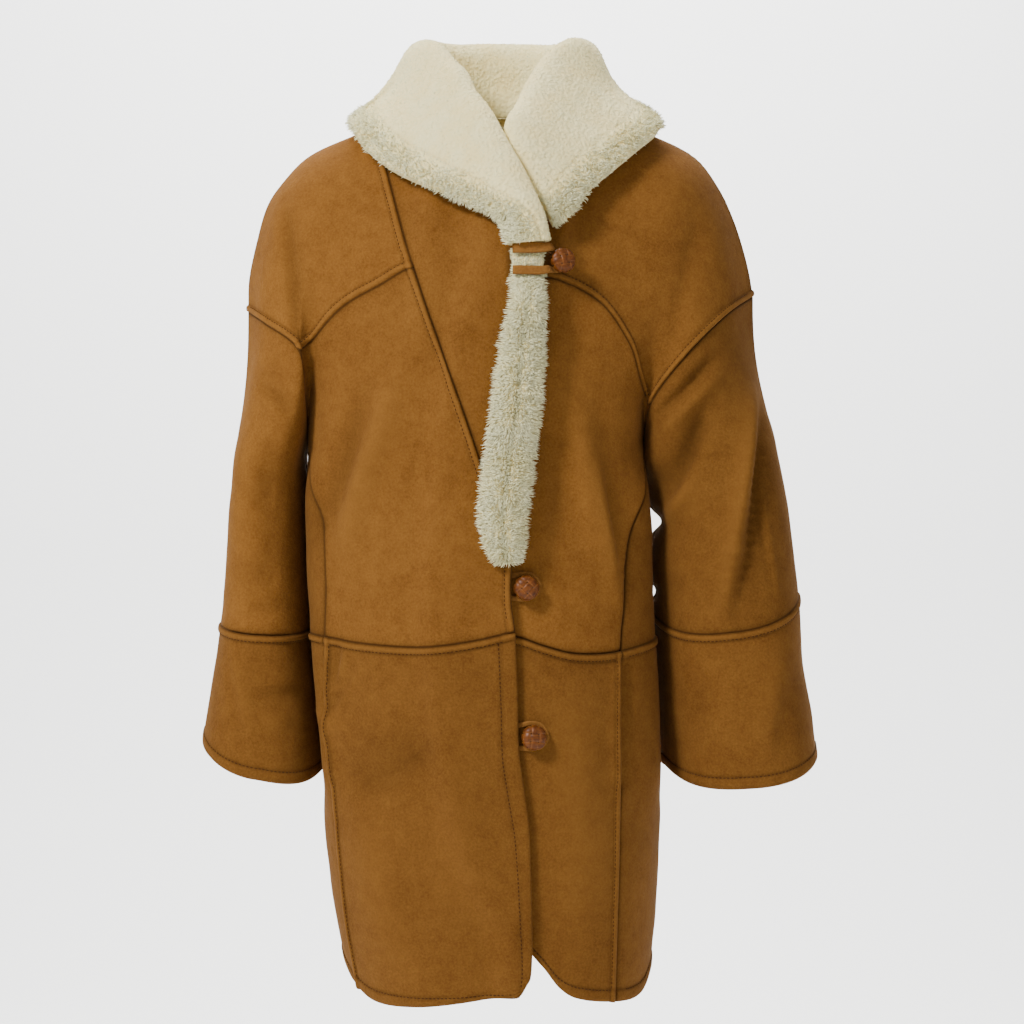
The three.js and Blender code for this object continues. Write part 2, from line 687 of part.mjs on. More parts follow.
// The grid moved along its normals by a distance for each point, less where the moved skin would fold over
function offsetSkin(points, normals, distances) {
  const reach = distances.map((line) => [...line]);
  const corners = [[[0, 0], [1, 0], [1, 1]], [[0, 0], [1, 1], [0, 1]]];
  const place = () => points.map((line, i) => line.map((p, j) => p.clone().addScaledVector(normals[i][j], reach[i][j])));
  const face = (grid, i, j, [a, b, c]) => {
    const corner = ([di, dj]) => grid[i + di][j + dj];
    return corner(b).clone().sub(corner(a)).cross(corner(c).clone().sub(corner(a)));
  };
  for (let round = 0; round < 14; round += 1) {
    const moved = place();
    const tight = new Set();
    for (let i = 0; i < points.length - 1; i += 1) {
      for (let j = 0; j < points[0].length - 1; j += 1) {
        corners.forEach((triangle) => {
          const before = face(points, i, j, triangle);
          const after = face(moved, i, j, triangle);
          if (after.dot(before) < 0.35 * after.length() * before.length()) {
            triangle.forEach(([di, dj]) => tight.add(`${i + di},${j + dj}`));
          }
        });
      }
    }
    if (tight.size === 0) return moved;
    tight.forEach((key) => {
      const [i, j] = key.split(',').map(Number);
      reach[i][j] *= 0.8;
    });
  }
  return place();
}

function wallSolid(grid, half) {
  const inset = insetEdges(grid, half);
  const points = inset.map((line) => line.map((c) => c.at));
  const normals = inset.map((line) => line.map((c) => c.normal));
  const outer = offsetSkin(points, normals, inset.map((line) => line.map((c) => c.raise)));
  const inner = offsetSkin(points, normals, inset.map((line) => line.map(() => -wall)));
  return solidFromSkins(outer, inner);
}

const coat = new THREE.Group();
coat.name = 'shearling_coat';

function add(name, geometry, finish) {
  const mesh = new THREE.Mesh(geometry, new THREE.MeshStandardMaterial(finish));
  mesh.name = name;
  coat.add(mesh);
}

// Rows shared by the panels of each layer
const shoulderRow = fixedRow(0);
const armpitRow = fixedRow(1);
const hemRow = fixedRow(2);
const yokeRows = { right: 6, left: 7, back: 6 };
const chestRows = 4;
const waistRows = 6;
const skirtRows = 7;

function layerRows(layer, yokeSeam, waistSeam, yokeCount) {
  const yoke = seamRow(layer, yokeSeam, 0.02, 0.98);
  const waist = seamRow(layer, waistSeam, 1.001, 1.9);
  const hem = shiftRow(hemRow, -hemBand - bandFall, skirtRun);
  const skirt = tier(waist, hem, skirtRows, skirtRun, 'first');
  return {
    yoke: tier(shoulderRow, yoke, yokeCount, upperRun, 'last'),
    plainYoke: tier(shoulderRow, yoke, yokeCount, upperRun, 'last').map(({ row }) => ({ row, raise: 0 })),
    chest: tier(yoke, armpitRow, chestRows, upperRun),
    waist: tier(armpitRow, waist, waistRows, skirtRun),
    skirt: [
      ...skirt,
      { row: shiftRow(hemRow, -hemBand, skirtRun), raise: hemRaise },
      { row: hemRow, raise: hemRaise },
    ],
  };
}

const rightRows = layerRows(rightFront, rightYokeSeam, rightWaist, yokeRows.right);
const leftRows = layerRows(leftFront, leftYokeSeam, leftWaist, yokeRows.left);
const backRows = layerRows(backSheet, backYokeSeam, backWaist, yokeRows.back);

// Panel edges
const slantEdge = seamEdge(rightFront, slantSeam, 0.1, 0.7);
const openEdge = seamEdge(rightFront, rightFrontEdge, 0.4, 0.75);
const hiddenEdge = seamEdge(leftFront, hiddenFrontEdge, 0.3, 0.6);
const sideFrontRight = sideEdge(rightFront, sideSeams.rightFront, false);
const sideFrontLeft = sideEdge(leftFront, sideSeams.leftFront, true);
const sideBackRight = sideEdge(backSheet, sideSeams.back, false);
const sideBackLeft = sideEdge(backSheet, sideSeams.back, true);
const aboveArmpit = (edge, s) => (row) => (row(0.5) < 0.9999 ? s : edge(row));

// Below its tip the slanting seam has met the front edge
const slantEnd = 1.215;
const panelRightEdge = (row) => {
  const slant = slantEdge(row);
  return row(slant) < slantEnd ? slant : openEdge(row);
};

const joinRows = (...tiers) => tiers.flatMap((rows, i) => (i ? rows.slice(1) : rows));
const evenShares = (count) => range(count + 1).map((i) => i / count);
const yokeColumns = columnsOf(evenShares(7), true, true);

// The middle of the right front and the left yoke have a column that starts at the end of the shoulder seam
const slantTop = slantEdge(shoulderRow);
const centreTop = openEdge(shoulderRow);
const centreNeck = (neckPoint - slantTop) / (centreTop - slantTop);
const centreShares = [0, centreNeck / 2, ...range(6).map((i) => mix(centreNeck, 1, i / 5))];
const centreColumns = columnsOf(centreShares, false, false);
const hiddenTop = hiddenEdge(shoulderRow);
const leftBandShare = bandSizes(onLayer(leftFront), shoulderRow, hiddenTop, 1).bandShare;
const leftNeck = (1 - neckPoint - hiddenTop) / (1 - hiddenTop) / (1 - leftBandShare);
const leftShares = [
  ...range(5).map((i) => (leftNeck * i) / 5),
  ...range(9).map((i) => mix(leftNeck, 1, i / 8)),
];
const leftColumns = columnsOf(leftShares, false, true);

const frontGrids = {
  rightYoke: panelGrid(onLayer(rightFront), rightRows.yoke, fixedEdge(0), slantEdge, yokeColumns, {
    left: true,
    right: true,
  }),
  leftYoke: panelGrid(onLayer(leftFront), leftRows.yoke, hiddenEdge, fixedEdge(1), leftColumns, {
    right: true,
  }),
};

const rightUpperRows = joinRows(rightRows.chest, rightRows.waist);
const leftUpperRows = joinRows(leftRows.chest, leftRows.waist);

function buildRightFront() {
  const sheet = onLayer(rightFront);
  add('R_front_yoke', wallSolid(frontGrids.rightYoke, sharpInset), suede);
  const upperLeft = aboveArmpit(sideFrontRight, 0);
  const upper = panelGrid(sheet, rightUpperRows, upperLeft, panelRightEdge, yokeColumns, { right: true });
  add('R_front_upper', wallSolid(upper, sharpInset), suede);
  const lower = panelGrid(sheet, rightRows.skirt, sideFrontRight, openEdge, yokeColumns, { left: true });
  add('R_front_lower', wallSolid(lower), suede);
  const centreRows = joinRows(rightRows.plainYoke, rightUpperRows)
    .filter(({ row }) => row(slantEdge(row)) < slantEnd);
  const centre = panelGrid(sheet, centreRows, slantEdge, openEdge, centreColumns);
  add('R_front_center', wallSolid(centre), suede);
}

function buildLeftFront() {
  const sheet = onLayer(leftFront);
  add('L_front_yoke', wallSolid(frontGrids.leftYoke, sharpInset), suede);
  const upperRight = aboveArmpit(sideFrontLeft, 1);
  const upper = panelGrid(sheet, leftUpperRows, hiddenEdge, upperRight, leftColumns);
  add('L_front_upper', wallSolid(upper, sharpInset), suede);
  const lower = panelGrid(sheet, leftRows.skirt, hiddenEdge, sideFrontLeft, leftColumns, { right: true });
  add('L_front_lower', wallSolid(lower), suede);
}

// The back has the columns of both fronts along the shoulder seams
function backColumns() {
  const rightStops = frontGrids.rightYoke[0].map((cell) => cell.s);
  const centreStops = [mix(slantTop, neckPoint, 0.5), neckPoint];
  const neckStops = range(5).map((i) => mix(neckPoint, 1 - neckPoint, (i + 1) / 6));
  const leftStops = frontGrids.leftYoke[0].map((cell) => cell.s).filter((s) => s > 0.999 - neckPoint);
  const stops = [...rightStops, ...centreStops, ...neckStops, ...leftStops];
  return columnsOf(stops.map((s, i) => (i === stops.length - 1 ? 1 : s)), false, false);
}

function buildBack() {
  const sheet = onLayer(backSheet);
  const columns = backColumns();
  const yoke = panelGrid(sheet, backRows.yoke, fixedEdge(0), fixedEdge(1), columns);
  add('back_yoke', wallSolid(yoke), suede);
  const upperRows = joinRows(backRows.chest, backRows.waist);
  const [upperRight, upperLeft] = [aboveArmpit(sideBackRight, 0), aboveArmpit(sideBackLeft, 1)];
  const upper = panelGrid(sheet, upperRows, upperRight, upperLeft, columns);
  add('back_upper', wallSolid(upper), suede);
  const lower = panelGrid(sheet, backRows.skirt, sideBackRight, sideBackLeft, columns);
  add('back_lower', wallSolid(lower), suede);
}

const sideColumns = 6;

function buildSides() {
  const right = (rows, behind) => (
    sideGrid(rightFront, rows, behind, sideFrontRight, sideBackRight, sideColumns)
  );
  const left = (rows, behind) => (
    sideGrid(leftFront, rows, behind, sideFrontLeft, sideBackLeft, sideColumns)
  );
  add('R_side_upper', wallSolid(right(rightRows.waist, backRows.waist)), suede);
  add('R_side_lower', wallSolid(right(rightRows.skirt, backRows.skirt)), suede);
  add('L_side_upper', wallSolid(left(leftRows.waist, backRows.waist)), suede);
  add('L_side_lower', wallSolid(left(leftRows.skirt, backRows.skirt)), suede);
}

// Sleeves: turn runs round the arm, 0 outer, 0.5 front, 1 inner, 1.5 back;
// down runs from the drop seam (0) over the cuff seam (1) to the rim (2)
function aroundArm(heights, turn) {
  const share = turn > 1 ? 2 - turn : turn;
  const mean = (heights.outer + heights.inner) / 2;
  const middle = (turn > 1 ? heights.back : heights.front) - mean;
  const straight = mix(heights.outer, heights.inner, (1 - Math.cos(Math.PI * share)) / 2);
  return straight + middle * Math.sin(Math.PI * share);
}

function sleevePoint(sleeve, turnIn, down) {
  const turn = (turnIn + 4) % 2;
  const share = turn > 1 ? 2 - turn : turn;
  const start = pointAt(turn > 1 ? sleeve.back : sleeve.front, 't', share);
  const seamHeight = aroundArm(sleeve.cuffSeam, turn);
  const z = down < 1
    ? mix(start.z, seamHeight, down)
    : mix(seamHeight, aroundArm(sleeve.rim, turn), down - 1);
  const at = (column) => curveAt(sleeve.sections, 'z', z, column);
  const [outer, inner] = [at('outer'), at('inner')];
  const depth = turn > 1 ? at('back') : at('front');
  const x = (outer + inner) / 2 + ((outer - inner) / 2) * rounded(Math.cos(Math.PI * share));
  const y = depth * rounded(Math.sin(Math.PI * share));
  const settled = ease(down / mix(0.5, 0.09, share ** 4));
  return point(mix(start.x, x, settled), mix(start.y, y, settled), z);
}

function sleeveNormal(sleeve, turn, down) {
  const step = 0.01;
  const across = sleevePoint(sleeve, turn + step, down).sub(sleevePoint(sleeve, turn - step, down));
  const low = Math.max(down - step, 0);
  const along = sleevePoint(sleeve, turn, Math.min(down + step, 2)).sub(sleevePoint(sleeve, turn, low));
  const normal = across.cross(along).normalize();
  const here = sleevePoint(sleeve, turn, down);
  const opposite = sleevePoint(sleeve, turn + 1, down);
  return normal.dot(here.sub(opposite)) < 0 ? normal.negate() : normal;
}

function sleeveCell(sleeve, turn, down, raise = 0) {
  const base = sleevePoint(sleeve, turn, down);
  const share = turn > 1 ? 2 - turn : turn;
  const s = sleeve === rightSleeve ? 0 : 1;
  const frontLayer = sleeve === rightSleeve ? rightFront : leftFront;
  const normal = sleeveNormal(sleeve, turn, down);
  if (down < 0.0001) {
    const apart = ease((share - underArm) / underArmRun);
    const sewn = sewnNormal(turn > 1 ? backSheet : frontLayer, s, share);
    return { at: base, normal: sewn.lerp(normal, apart).normalize(), raise };
  }
  const onFront = turn < 1 ? Math.sin(Math.PI * share) : 0.6 * Math.sin(Math.PI * share);
  const height = foldHeight(sleeve.folds, base.x, base.z) * onFront * ease(down / 0.15);
  return { at: base.addScaledVector(normal, height), normal, raise };
}

const cuffRun = 145;
const sleeveRows = { upper: 9, lower: 4 };

function buildSleeve(name, sleeve) {
  const s = sleeve === rightSleeve ? 0 : 1;
  const rows = sleeve === rightSleeve ? rightRows : leftRows;
  const stops = (frontRows, chest) => joinRows(frontRows, chest).map(({ row }) => row(s));
  const frontStops = stops(rows.yoke, rows.chest);
  const backStops = stops(backRows.yoke, backRows.chest);
  const downs = evenShares(sleeveRows.upper);
  const grid = (turns) => downs.map((down) => turns.map((turn) => sleeveCell(sleeve, turn, down)));
  add(`${name}_sleeve_front`, wallSolid(grid(frontStops)), suede);
  add(`${name}_sleeve_back`, wallSolid(grid(backStops.map((turn) => 2 - turn))), suede);

  const round = [...[...frontStops].reverse(), ...backStops.slice(1).map((turn) => 2 - turn)];
  const band = bandWidth / cuffRun;
  const fall = (bandWidth + bandFall) / cuffRun;
  const rim = hemBand / cuffRun;
  const rimFall = (hemBand + bandFall) / cuffRun;
  const plain = (i) => ({ down: mix(1 + fall, 2 - rimFall, i / sleeveRows.lower), raise: 0 });
  const lowerRows = [
    { down: 1, raise: edgeRaise },
    { down: 1 + band, raise: bandRaise },
    ...range(sleeveRows.lower + 1).map(plain),
    { down: 2 - rim, raise: bandRaise },
    { down: 2, raise: bandRaise },
  ];
  const lower = lowerRows.map(({ down, raise }) => (
    round.map((turn) => sleeveCell(sleeve, turn, down, raise))
  ));
  add(`${name}_cuff`, wallSolid(lower, sharpInset), suede);
}

// The place on a sheet that lies at x and z, found by narrowing a search
function locate(layer, x, z) {
  const span = { s: 0.5, t: 1 };
  const best = { s: 0.5, t: 1, away: Infinity };
  for (let round = 0; round < 16; round += 1) {
    const centre = { s: best.s, t: best.t };
    range(9).forEach((i) => range(9).forEach((j) => {
      const s = clamp(centre.s + span.s * (i / 4 - 1), 0, 1);
      const t = clamp(centre.t + span.t * (j / 4 - 1), 0, 2);
      const at = bodyPoint(layer, s, t);
      const away = Math.hypot(at.x - x, at.z - z);
      if (away < best.away) Object.assign(best, { s, t, away });
    }));
    span.s *= 0.6;
    span.t *= 0.6;
  }
  return best;
}

// A point that lies a given height over a sheet
function overSheet(layer, x, z, height) {
  const place = locate(layer, x, z);
  const cell = clothAt(layer, place.s, place.t);
  return { at: cell.at.addScaledVector(cell.normal, height), normal: cell.normal };
}

// Normals of a grid of points, by the neighbours' differences
function gridNormals(grid) {
  const [rows, columns] = [grid.length, grid[0].length];
  return grid.map((line, i) => line.map((_, j) => {
    const along = grid[Math.min(i + 1, rows - 1)][j].clone().sub(grid[Math.max(i - 1, 0)][j]);
    const across = grid[i][Math.min(j + 1, columns - 1)].clone().sub(grid[i][Math.max(j - 1, 0)]);
    return along.cross(across).normalize();
  }));
}

// One section of the collar: up the stand from the neckline, over the roll and down the fall
function collarLine(section, before, after) {
  const roll = point(section.rollX, section.rollY, section.rollZ);
  const base = point(section.baseX, section.baseY, section.baseZ);
  const layer = section.behind ? backSheet : section.side;
  const edge = overSheet(layer, section.edgeX, section.edgeZ, section.lift).at;
  const ahead = point(after.rollX, after.rollY, after.rollZ);
  const run = ahead.sub(point(before.rollX, before.rollY, before.rollZ));
  const fall = edge.clone().sub(roll).normalize();
  const stand = base.clone().sub(roll).normalize();
  const out = run.cross(fall).normalize();
  if (out.dot(stand) > 0) out.negate();
  const top = roll.clone().addScaledVector(fall.clone().add(stand).normalize(), -section.roll * 0.35);
  const inner = roll.clone().addScaledVector(out, -section.roll).addScaledVector(stand, section.roll);
  const outer = roll.clone().addScaledVector(out, section.roll).addScaledVector(fall, section.roll);
  const belly = outer.clone().lerp(edge, 0.5).addScaledVector(out, 3);
  const start = base.clone().lerp(inner, 0.06);
  return new THREE.CatmullRomCurve3([start, start.clone().lerp(inner, 0.5), inner, top, outer, belly, edge]);
}

const collarSteps = 13;

function buildCollar() {
  const count = collarSections.length;
  const middle = (count - 1) / 2;
  const sections = collarSections.map((row, i) => ({ ...row, side: i < middle ? rightFront : leftFront }));
  const lines = sections.map((row, i) => {
    const line = collarLine(row, sections[Math.max(i - 1, 0)], sections[Math.min(i + 1, count - 1)]);
    return line.getSpacedPoints(collarSteps);
  });
  const normals = gridNormals(lines);
  const thickness = (i, j) => {
    const share = j / collarSteps;
    const swell = Math.min(1, 0.5 + share) * (1 - 0.45 * ease((share - 0.86) / 0.14));
    return (sections[i].thick * swell) / 2;
  };
  const skin = (sign) => (
    offsetSkin(lines, normals, lines.map((line, i) => line.map((_, j) => sign * thickness(i, j))))
  );
  add('collar', solidFromSkins(skin(1), skin(-1)), fleece);
}

function buildStrip() {
  const shares = [0, 0.2, 0.5, 0.8, 1];
  const swell = [0.45, 0.85, 1, 0.85, 0.45];
  const steps = 18;
  const cells = range(steps + 1).map((i) => {
    const z = mix(stripSections[0].z, stripSections[stripSections.length - 1].z, i / steps);
    const at = (column) => curveAt(stripSections, 'z', z, column);
    return shares.map((share, j) => ({
      under: overSheet(rightFront, mix(at('left'), at('right'), share), z, bandRaise + 2 * seamGap),
      thick: at('thick') * swell[j],
    }));
  });
  const raised = (c) => c.under.at.clone().addScaledVector(c.under.normal, c.thick);
  const outer = cells.map((line) => line.map(raised));
  const inner = cells.map((line) => line.map((c) => c.under.at));
  add('fur_front_strip', solidFromSkins(outer, inner), fleece);
}

// A flat band along a path on a front, its face turned outward
function bandSolid(path, offset, thickness) {
  const places = path.map((step) => {
    const layer = step.over ? rightFront : leftFront;
    const over = overSheet(layer, step.x + offset.x, step.z + offset.z, step.height);
    return { ...over, width: step.width };
  });
  const outer = [];
  const inner = [];
  places.forEach(({ at, normal, width }, i) => {
    const ahead = places[Math.min(i + 1, places.length - 1)].at;
    const behind = places[Math.max(i - 1, 0)].at;
    const side = ahead.clone().sub(behind).cross(normal).normalize();
    const line = [-0.5, 0.5].map((share) => at.clone().addScaledVector(side, share * width));
    const up = side.clone().cross(ahead.clone().sub(behind)).normalize();
    const facing = up.dot(normal) < 0 ? up.negate() : up;
    inner.push(line);
    outer.push(line.map((p) => p.clone().addScaledVector(facing, thickness)));
  });
  return solidFromSkins(outer, inner);
}

function buildFastening() {
  buttons.forEach((button, i) => {
    const over = overSheet(leftFront, button.x, button.z, button.seat);
    const dome = buttonHeight - 3;
    const profile = [
      [0, 0], [3.6, 0], [3.6, button.shank], [buttonRadius * 0.75, button.shank + 1],
      [buttonRadius, button.shank + dome * 0.35], [buttonRadius * 0.92, button.shank + dome * 0.7],
      [buttonRadius * 0.6, button.shank + dome * 0.94], [0, button.shank + dome],
    ].map(([radius, height]) => new THREE.Vector2(radius, height));
    const turned = new THREE.LatheGeometry(profile, 20);
    const mesh = new THREE.Mesh(turned, new THREE.MeshStandardMaterial(knotLeather));
    mesh.name = `button_${i + 1}`;
    mesh.position.copy(over.at);
    mesh.quaternion.setFromUnitVectors(point(0, 1, 0), over.normal);
    coat.add(mesh);
    const band = i === 0
      ? bandSolid(topLoop, { x: 0, z: 0 }, loopThickness)
      : bandSolid(lowLoop, { x: button.x - 1, z: button.z + 1 }, loopThickness);
    add(`loop_${i + 1}`, band, loopSuede);
  });
}

buildRightFront();
buildLeftFront();
buildBack();
buildSides();
buildSleeve('R', rightSleeve);
buildSleeve('L', leftSleeve);
buildCollar();
buildStrip();
buildFastening();

export default coat;
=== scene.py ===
"""Looks of a suede shearling coat in worn form.

The cloth follows the same seams, sections and folds as the solids, in millimetres, and is
turned into metres when a mesh is made. X is to the wearer's left, Y to the back, Z up.
"""
import math

import bpy
import numpy as np
from mathutils.kdtree import KDTree
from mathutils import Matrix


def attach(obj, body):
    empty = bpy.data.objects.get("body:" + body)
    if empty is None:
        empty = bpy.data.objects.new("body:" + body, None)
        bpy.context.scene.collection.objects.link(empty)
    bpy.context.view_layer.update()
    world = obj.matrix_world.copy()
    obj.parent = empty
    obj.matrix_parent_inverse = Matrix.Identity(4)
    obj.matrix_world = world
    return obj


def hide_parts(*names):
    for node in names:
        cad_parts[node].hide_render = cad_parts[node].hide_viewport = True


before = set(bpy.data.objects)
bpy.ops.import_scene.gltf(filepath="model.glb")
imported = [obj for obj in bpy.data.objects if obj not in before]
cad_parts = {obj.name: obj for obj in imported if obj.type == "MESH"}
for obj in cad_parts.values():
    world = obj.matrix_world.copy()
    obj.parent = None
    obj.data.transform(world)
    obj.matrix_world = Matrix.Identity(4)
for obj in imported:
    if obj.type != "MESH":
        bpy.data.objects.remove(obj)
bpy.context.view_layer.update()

METRES = 0.001
FRONT, BACK = -1, 1
WALL = 5.5
BAND_WIDTH, BAND_RAISE = 8.0, 2.3
OVERLAP_LIFT, OVERLAP_RAMP = 9.8, 30.0
ARMPIT = -307.0
ROUNDNESS = 0.83
UPPER_RUN, SKIRT_RUN, CUFF_RUN = 380.0, 565.0, 145.0
NECK_POINT = 0.36
UNDER_ARM, ARMHOLE_REACH = 0.55, 0.3
BUTTON_RADIUS = 13.0
RIM_EDGE, RIM_RAMP, COLLAR_STITCH = 14, 26, 33
COLLAR_LOCKS, STRIP_LOCKS = 20500, 13000
V_MIDDLE, V_HALF, V_FOOT = 2, 12, 12


# Camera at the photograph's angle: level, 3 m away, 1.06 mm to a pixel at the shoulders
CAMERA_PLACE = (0.0106, -3.0, -0.3837)
CAMERA_LENS, CAMERA_SENSOR = 99.5, 36.0


def add_camera():
    data = bpy.data.cameras.new("camera")
    data.lens, data.sensor_width = CAMERA_LENS, CAMERA_SENSOR
    camera = bpy.data.objects.new("camera", data)
    camera.location = CAMERA_PLACE
    camera.rotation_euler = (math.pi / 2, 0, 0)
    bpy.context.scene.collection.objects.link(camera)
    bpy.context.scene.camera = camera


add_camera()


# Number helpers
def mix(a, b, share):
    return a + (b - a) * share


def ease(value):
    f = np.clip(value, 0, 1)
    return f * f * (3 - 2 * f)


def rounded(value):
    return np.sign(value) * np.abs(value) ** ROUNDNESS


def unit(vectors):
    return vectors / np.maximum(np.linalg.norm(vectors, axis=-1, keepdims=True), 1e-9)


class Curve:
    """A smooth curve through a table's rows: the first column is the place, the rest are values."""

    def __init__(self, *rows):
        rows = np.array(rows, float)
        rows = rows[np.argsort(rows[:, 0])]
        self.keys, self.values = rows[:, 0], rows[:, 1:]
        last = len(rows) - 1
        before = np.maximum(np.arange(last + 1) - 1, 0)
        after = np.minimum(np.arange(last + 1) + 1, last)
        rise = self.values[after] - self.values[before]
        self.slopes = rise / (self.keys[after] - self.keys[before])[:, None]

    def __call__(self, place):
        place = np.asarray(place, float)
        i = np.clip(np.searchsorted(self.keys, place, "right") - 1, 0, len(self.keys) - 2)
        span = (self.keys[i + 1] - self.keys[i])[..., None]
        f = np.clip((place - self.keys[i])[..., None] / span, 0, 1)
        rest = 1 - f
        start, end = self.values[i], self.values[i + 1]
        value = start * rest * rest * (1 + 2 * f) + end * f * f * (3 - 2 * f)
        value += (self.slopes[i] * f * rest * rest - self.slopes[i + 1] * f * f * rest) * span
        return value[..., 0] if value.shape[-1] == 1 else value


def bisect(rising, low, high, shape, steps=26):
    """Where a rising function of an array passes zero."""
    a, b = np.full(shape, float(low)), np.full(shape, float(high))
    for _ in range(steps):
        middle = (a + b) / 2
        above = rising(middle) > 0
        a, b = np.where(above, a, middle), np.where(above, middle, b)
    return (a + b) / 2


def hashed(cells, seed):
    """A repeatable value from 0 to 1 for each row of whole numbers."""
    dots = cells @ np.array([127.1, 311.7, 74.7]) + seed * 19.19
    return np.modf(np.abs(np.sin(dots) * 43758.5453))[0]


def noise(points, size, seed=0):
    """Smooth noise from -1 to 1 over points, with lumps of the given size."""
    scaled = points / size
    cell = np.floor(scaled)
    f = ease(scaled - cell)
    total = np.zeros(points.shape[:-1])
    for corner in np.ndindex(2, 2, 2):
        corner = np.array(corner)
        weight = np.prod(np.where(corner, f, 1 - f), axis=-1)
        total += weight * hashed(cell + corner, seed)
    return 2 * total - 1


# Body sections: z, left, right, front, back
BODY = Curve(
    (-307, -205, 150, -146, 118), (-400, -206, 155, -154, 124), (-456, -204, 157, -155, 127),
    (-515, -200, 161, -156, 131), (-600, -192, 165, -160, 138), (-650, -188, 167, -161, 141),
    (-700, -188, 167, -160, 142), (-755, -183, 165, -158, 141), (-800, -177, 162, -155, 139),
    (-840, -169, 159, -152, 136), (-890, -157, 155, -147, 131),
)
# Shoulder seams and necklines: share round the body, x, y, z
RIGHT_SHOULDER = Curve(
    (0, -269, 0, -172), (0.04, -268, 0, -137), (0.08, -260, 0, -98), (0.12, -249, 0, -60),
    (0.16, -231, 0, -33), (0.2, -205, 2, -7), (0.25, -160, 4, 14), (NECK_POINT, -84, 8, 42),
)
LEFT_SHOULDER = Curve(
    (1 - NECK_POINT, 86, 8, 42), (0.75, 160, 4, 15), (0.8, 205, 2, -8), (0.84, 230, 0, -41),
    (0.88, 245, 0, -73), (0.92, 255, 0, -103), (0.96, 262, 0, -131), (1, 266, 0, -156),
)
RIGHT_NECKLINE = Curve(
    (NECK_POINT, -84, 8, 42), (0.41, -74, -45, 17), (0.46, -50, -84, -38), (0.52, -8, -112, -80),
    (0.58, 40, -128, -118), (1 - NECK_POINT, 88, -134, -158),
)
LEFT_NECKLINE = Curve(
    (NECK_POINT, -60, -130, -165), (0.44, -12, -122, -130), (0.5, 26, -116, -104),
    (0.56, 60, -96, -66), (0.6, 76, -62, -3), (1 - NECK_POINT, 86, 8, 42),
)
BACK_NECKLINE = Curve(
    (NECK_POINT, -84, 8, 42), (0.43, -56, 56, 38), (0.5, 1, 72, 35), (0.57, 58, 56, 38),
    (1 - NECK_POINT, 86, 8, 42),
)
# Armholes, from the outer top of the arm to the armpit: share, x, y, z
ARMHOLES = {
    ("right", FRONT): Curve(
        (0, -269, 0, -172), (0.25, -246, -62, -188), (0.5, -209, -92, -217),
        (0.75, -203, -70, -266), (1, -205, 0, -307),
    ),
    ("right", BACK): Curve(
        (0, -269, 0, -172), (0.25, -250, 58, -190), (0.5, -216, 84, -222),
        (0.75, -205, 64, -268), (1, -205, 0, -307),
    ),
    ("left", FRONT): Curve(
        (0, 266, 0, -156), (0.25, 233, -62, -180), (0.5, 191, -90, -222),
        (0.75, 155, -72, -270), (1, 150, 0, -307),
    ),
    ("left", BACK): Curve(
        (0, 266, 0, -156), (0.25, 240, 58, -182), (0.5, 203, 84, -224),
        (0.75, 163, 64, -270), (1, 150, 0, -307),
    ),
}
# Seams across the sheets: x, z
RIGHT_YOKE = Curve((-205, -217), (-165, -175), (-124, -152), (-91, -136), (-40, -150), (60, -178))
LEFT_YOKE = Curve(
    (-60, -172), (-20, -160), (15, -150), (44, -145), (100, -169), (133, -214), (143, -245),
    (153, -272),
)
BACK_YOKE = Curve((-210, -222), (-120, -178), (0, -168), (120, -178), (205, -224))
RIGHT_WAIST = Curve((-201, -508), (-175, -512), (-146, -517), (-82, -520), (-30, -514), (16, -503))
LEFT_WAIST = Curve(
    (-65, -503), (14, -509), (40, -518), (75, -527), (120, -526), (150, -516), (163, -508),
)
BACK_WAIST = Curve((-201, -508), (-120, -516), (0, -518), (120, -516), (163, -508))
RIGHT_HEM = Curve(
    (-166, -852), (-152, -872), (-130, -885), (-90, -886), (-50, -881), (0, -872), (22, -869),
    (30, -852),
)
LEFT_HEM = Curve(
    (15, -806), (31, -830), (44, -845), (59, -865), (76, -876), (120, -884), (146, -880),
    (158, -858),
)
BACK_HEM = Curve((-166, -852), (-120, -866), (0, -872), (120, -868), (158, -858))
# Seams and edges down the sheets: z, x
SLANT = Curve((30, -136), (-23, -121), (-132, -91), (-301, -32), (-400, -1), (-432, 7.5))
RIGHT_EDGE = Curve(
    (-118, 40), (-155, 34), (-200, 32), (-250, 29), (-300, 22), (-350, 17), (-400, 12),
    (-445, 9.5), (-475, 9.5), (-503, 13), (-575, 16), (-625, 17.5), (-660, 22), (-700, 27),
    (-790, 30), (-835, 30), (-858, 27), (-870, 18),
)
HIDDEN_EDGE = Curve(
    (-130, -12), (-200, -32), (-307, -50), (-500, -62), (-620, -50), (-740, -22), (-806, 14),
    (-830, 16),
)
# Side seams: z, share round the body from the side
SIDES = {
    ("right", FRONT): Curve(
        (-307, 0.006), (-320, 0.06), (-345, 0.12), (-380, 0.17), (-430, 0.198), (-512, 0.181),
        (-600, 0.156), (-740, 0.152), (-830, 0.141), (-890, 0.128),
    ),
    ("left", FRONT): Curve(
        (-307, 0.006), (-320, 0.05), (-345, 0.1), (-400, 0.184), (-472, 0.217), (-525, 0.235),
        (-620, 0.251), (-740, 0.256), (-890, 0.25),
    ),
    BACK: Curve(
        (-307, 0.006), (-320, 0.05), (-345, 0.1), (-400, 0.16), (-512, 0.19), (-640, 0.19),
        (-890, 0.18),
    ),
}
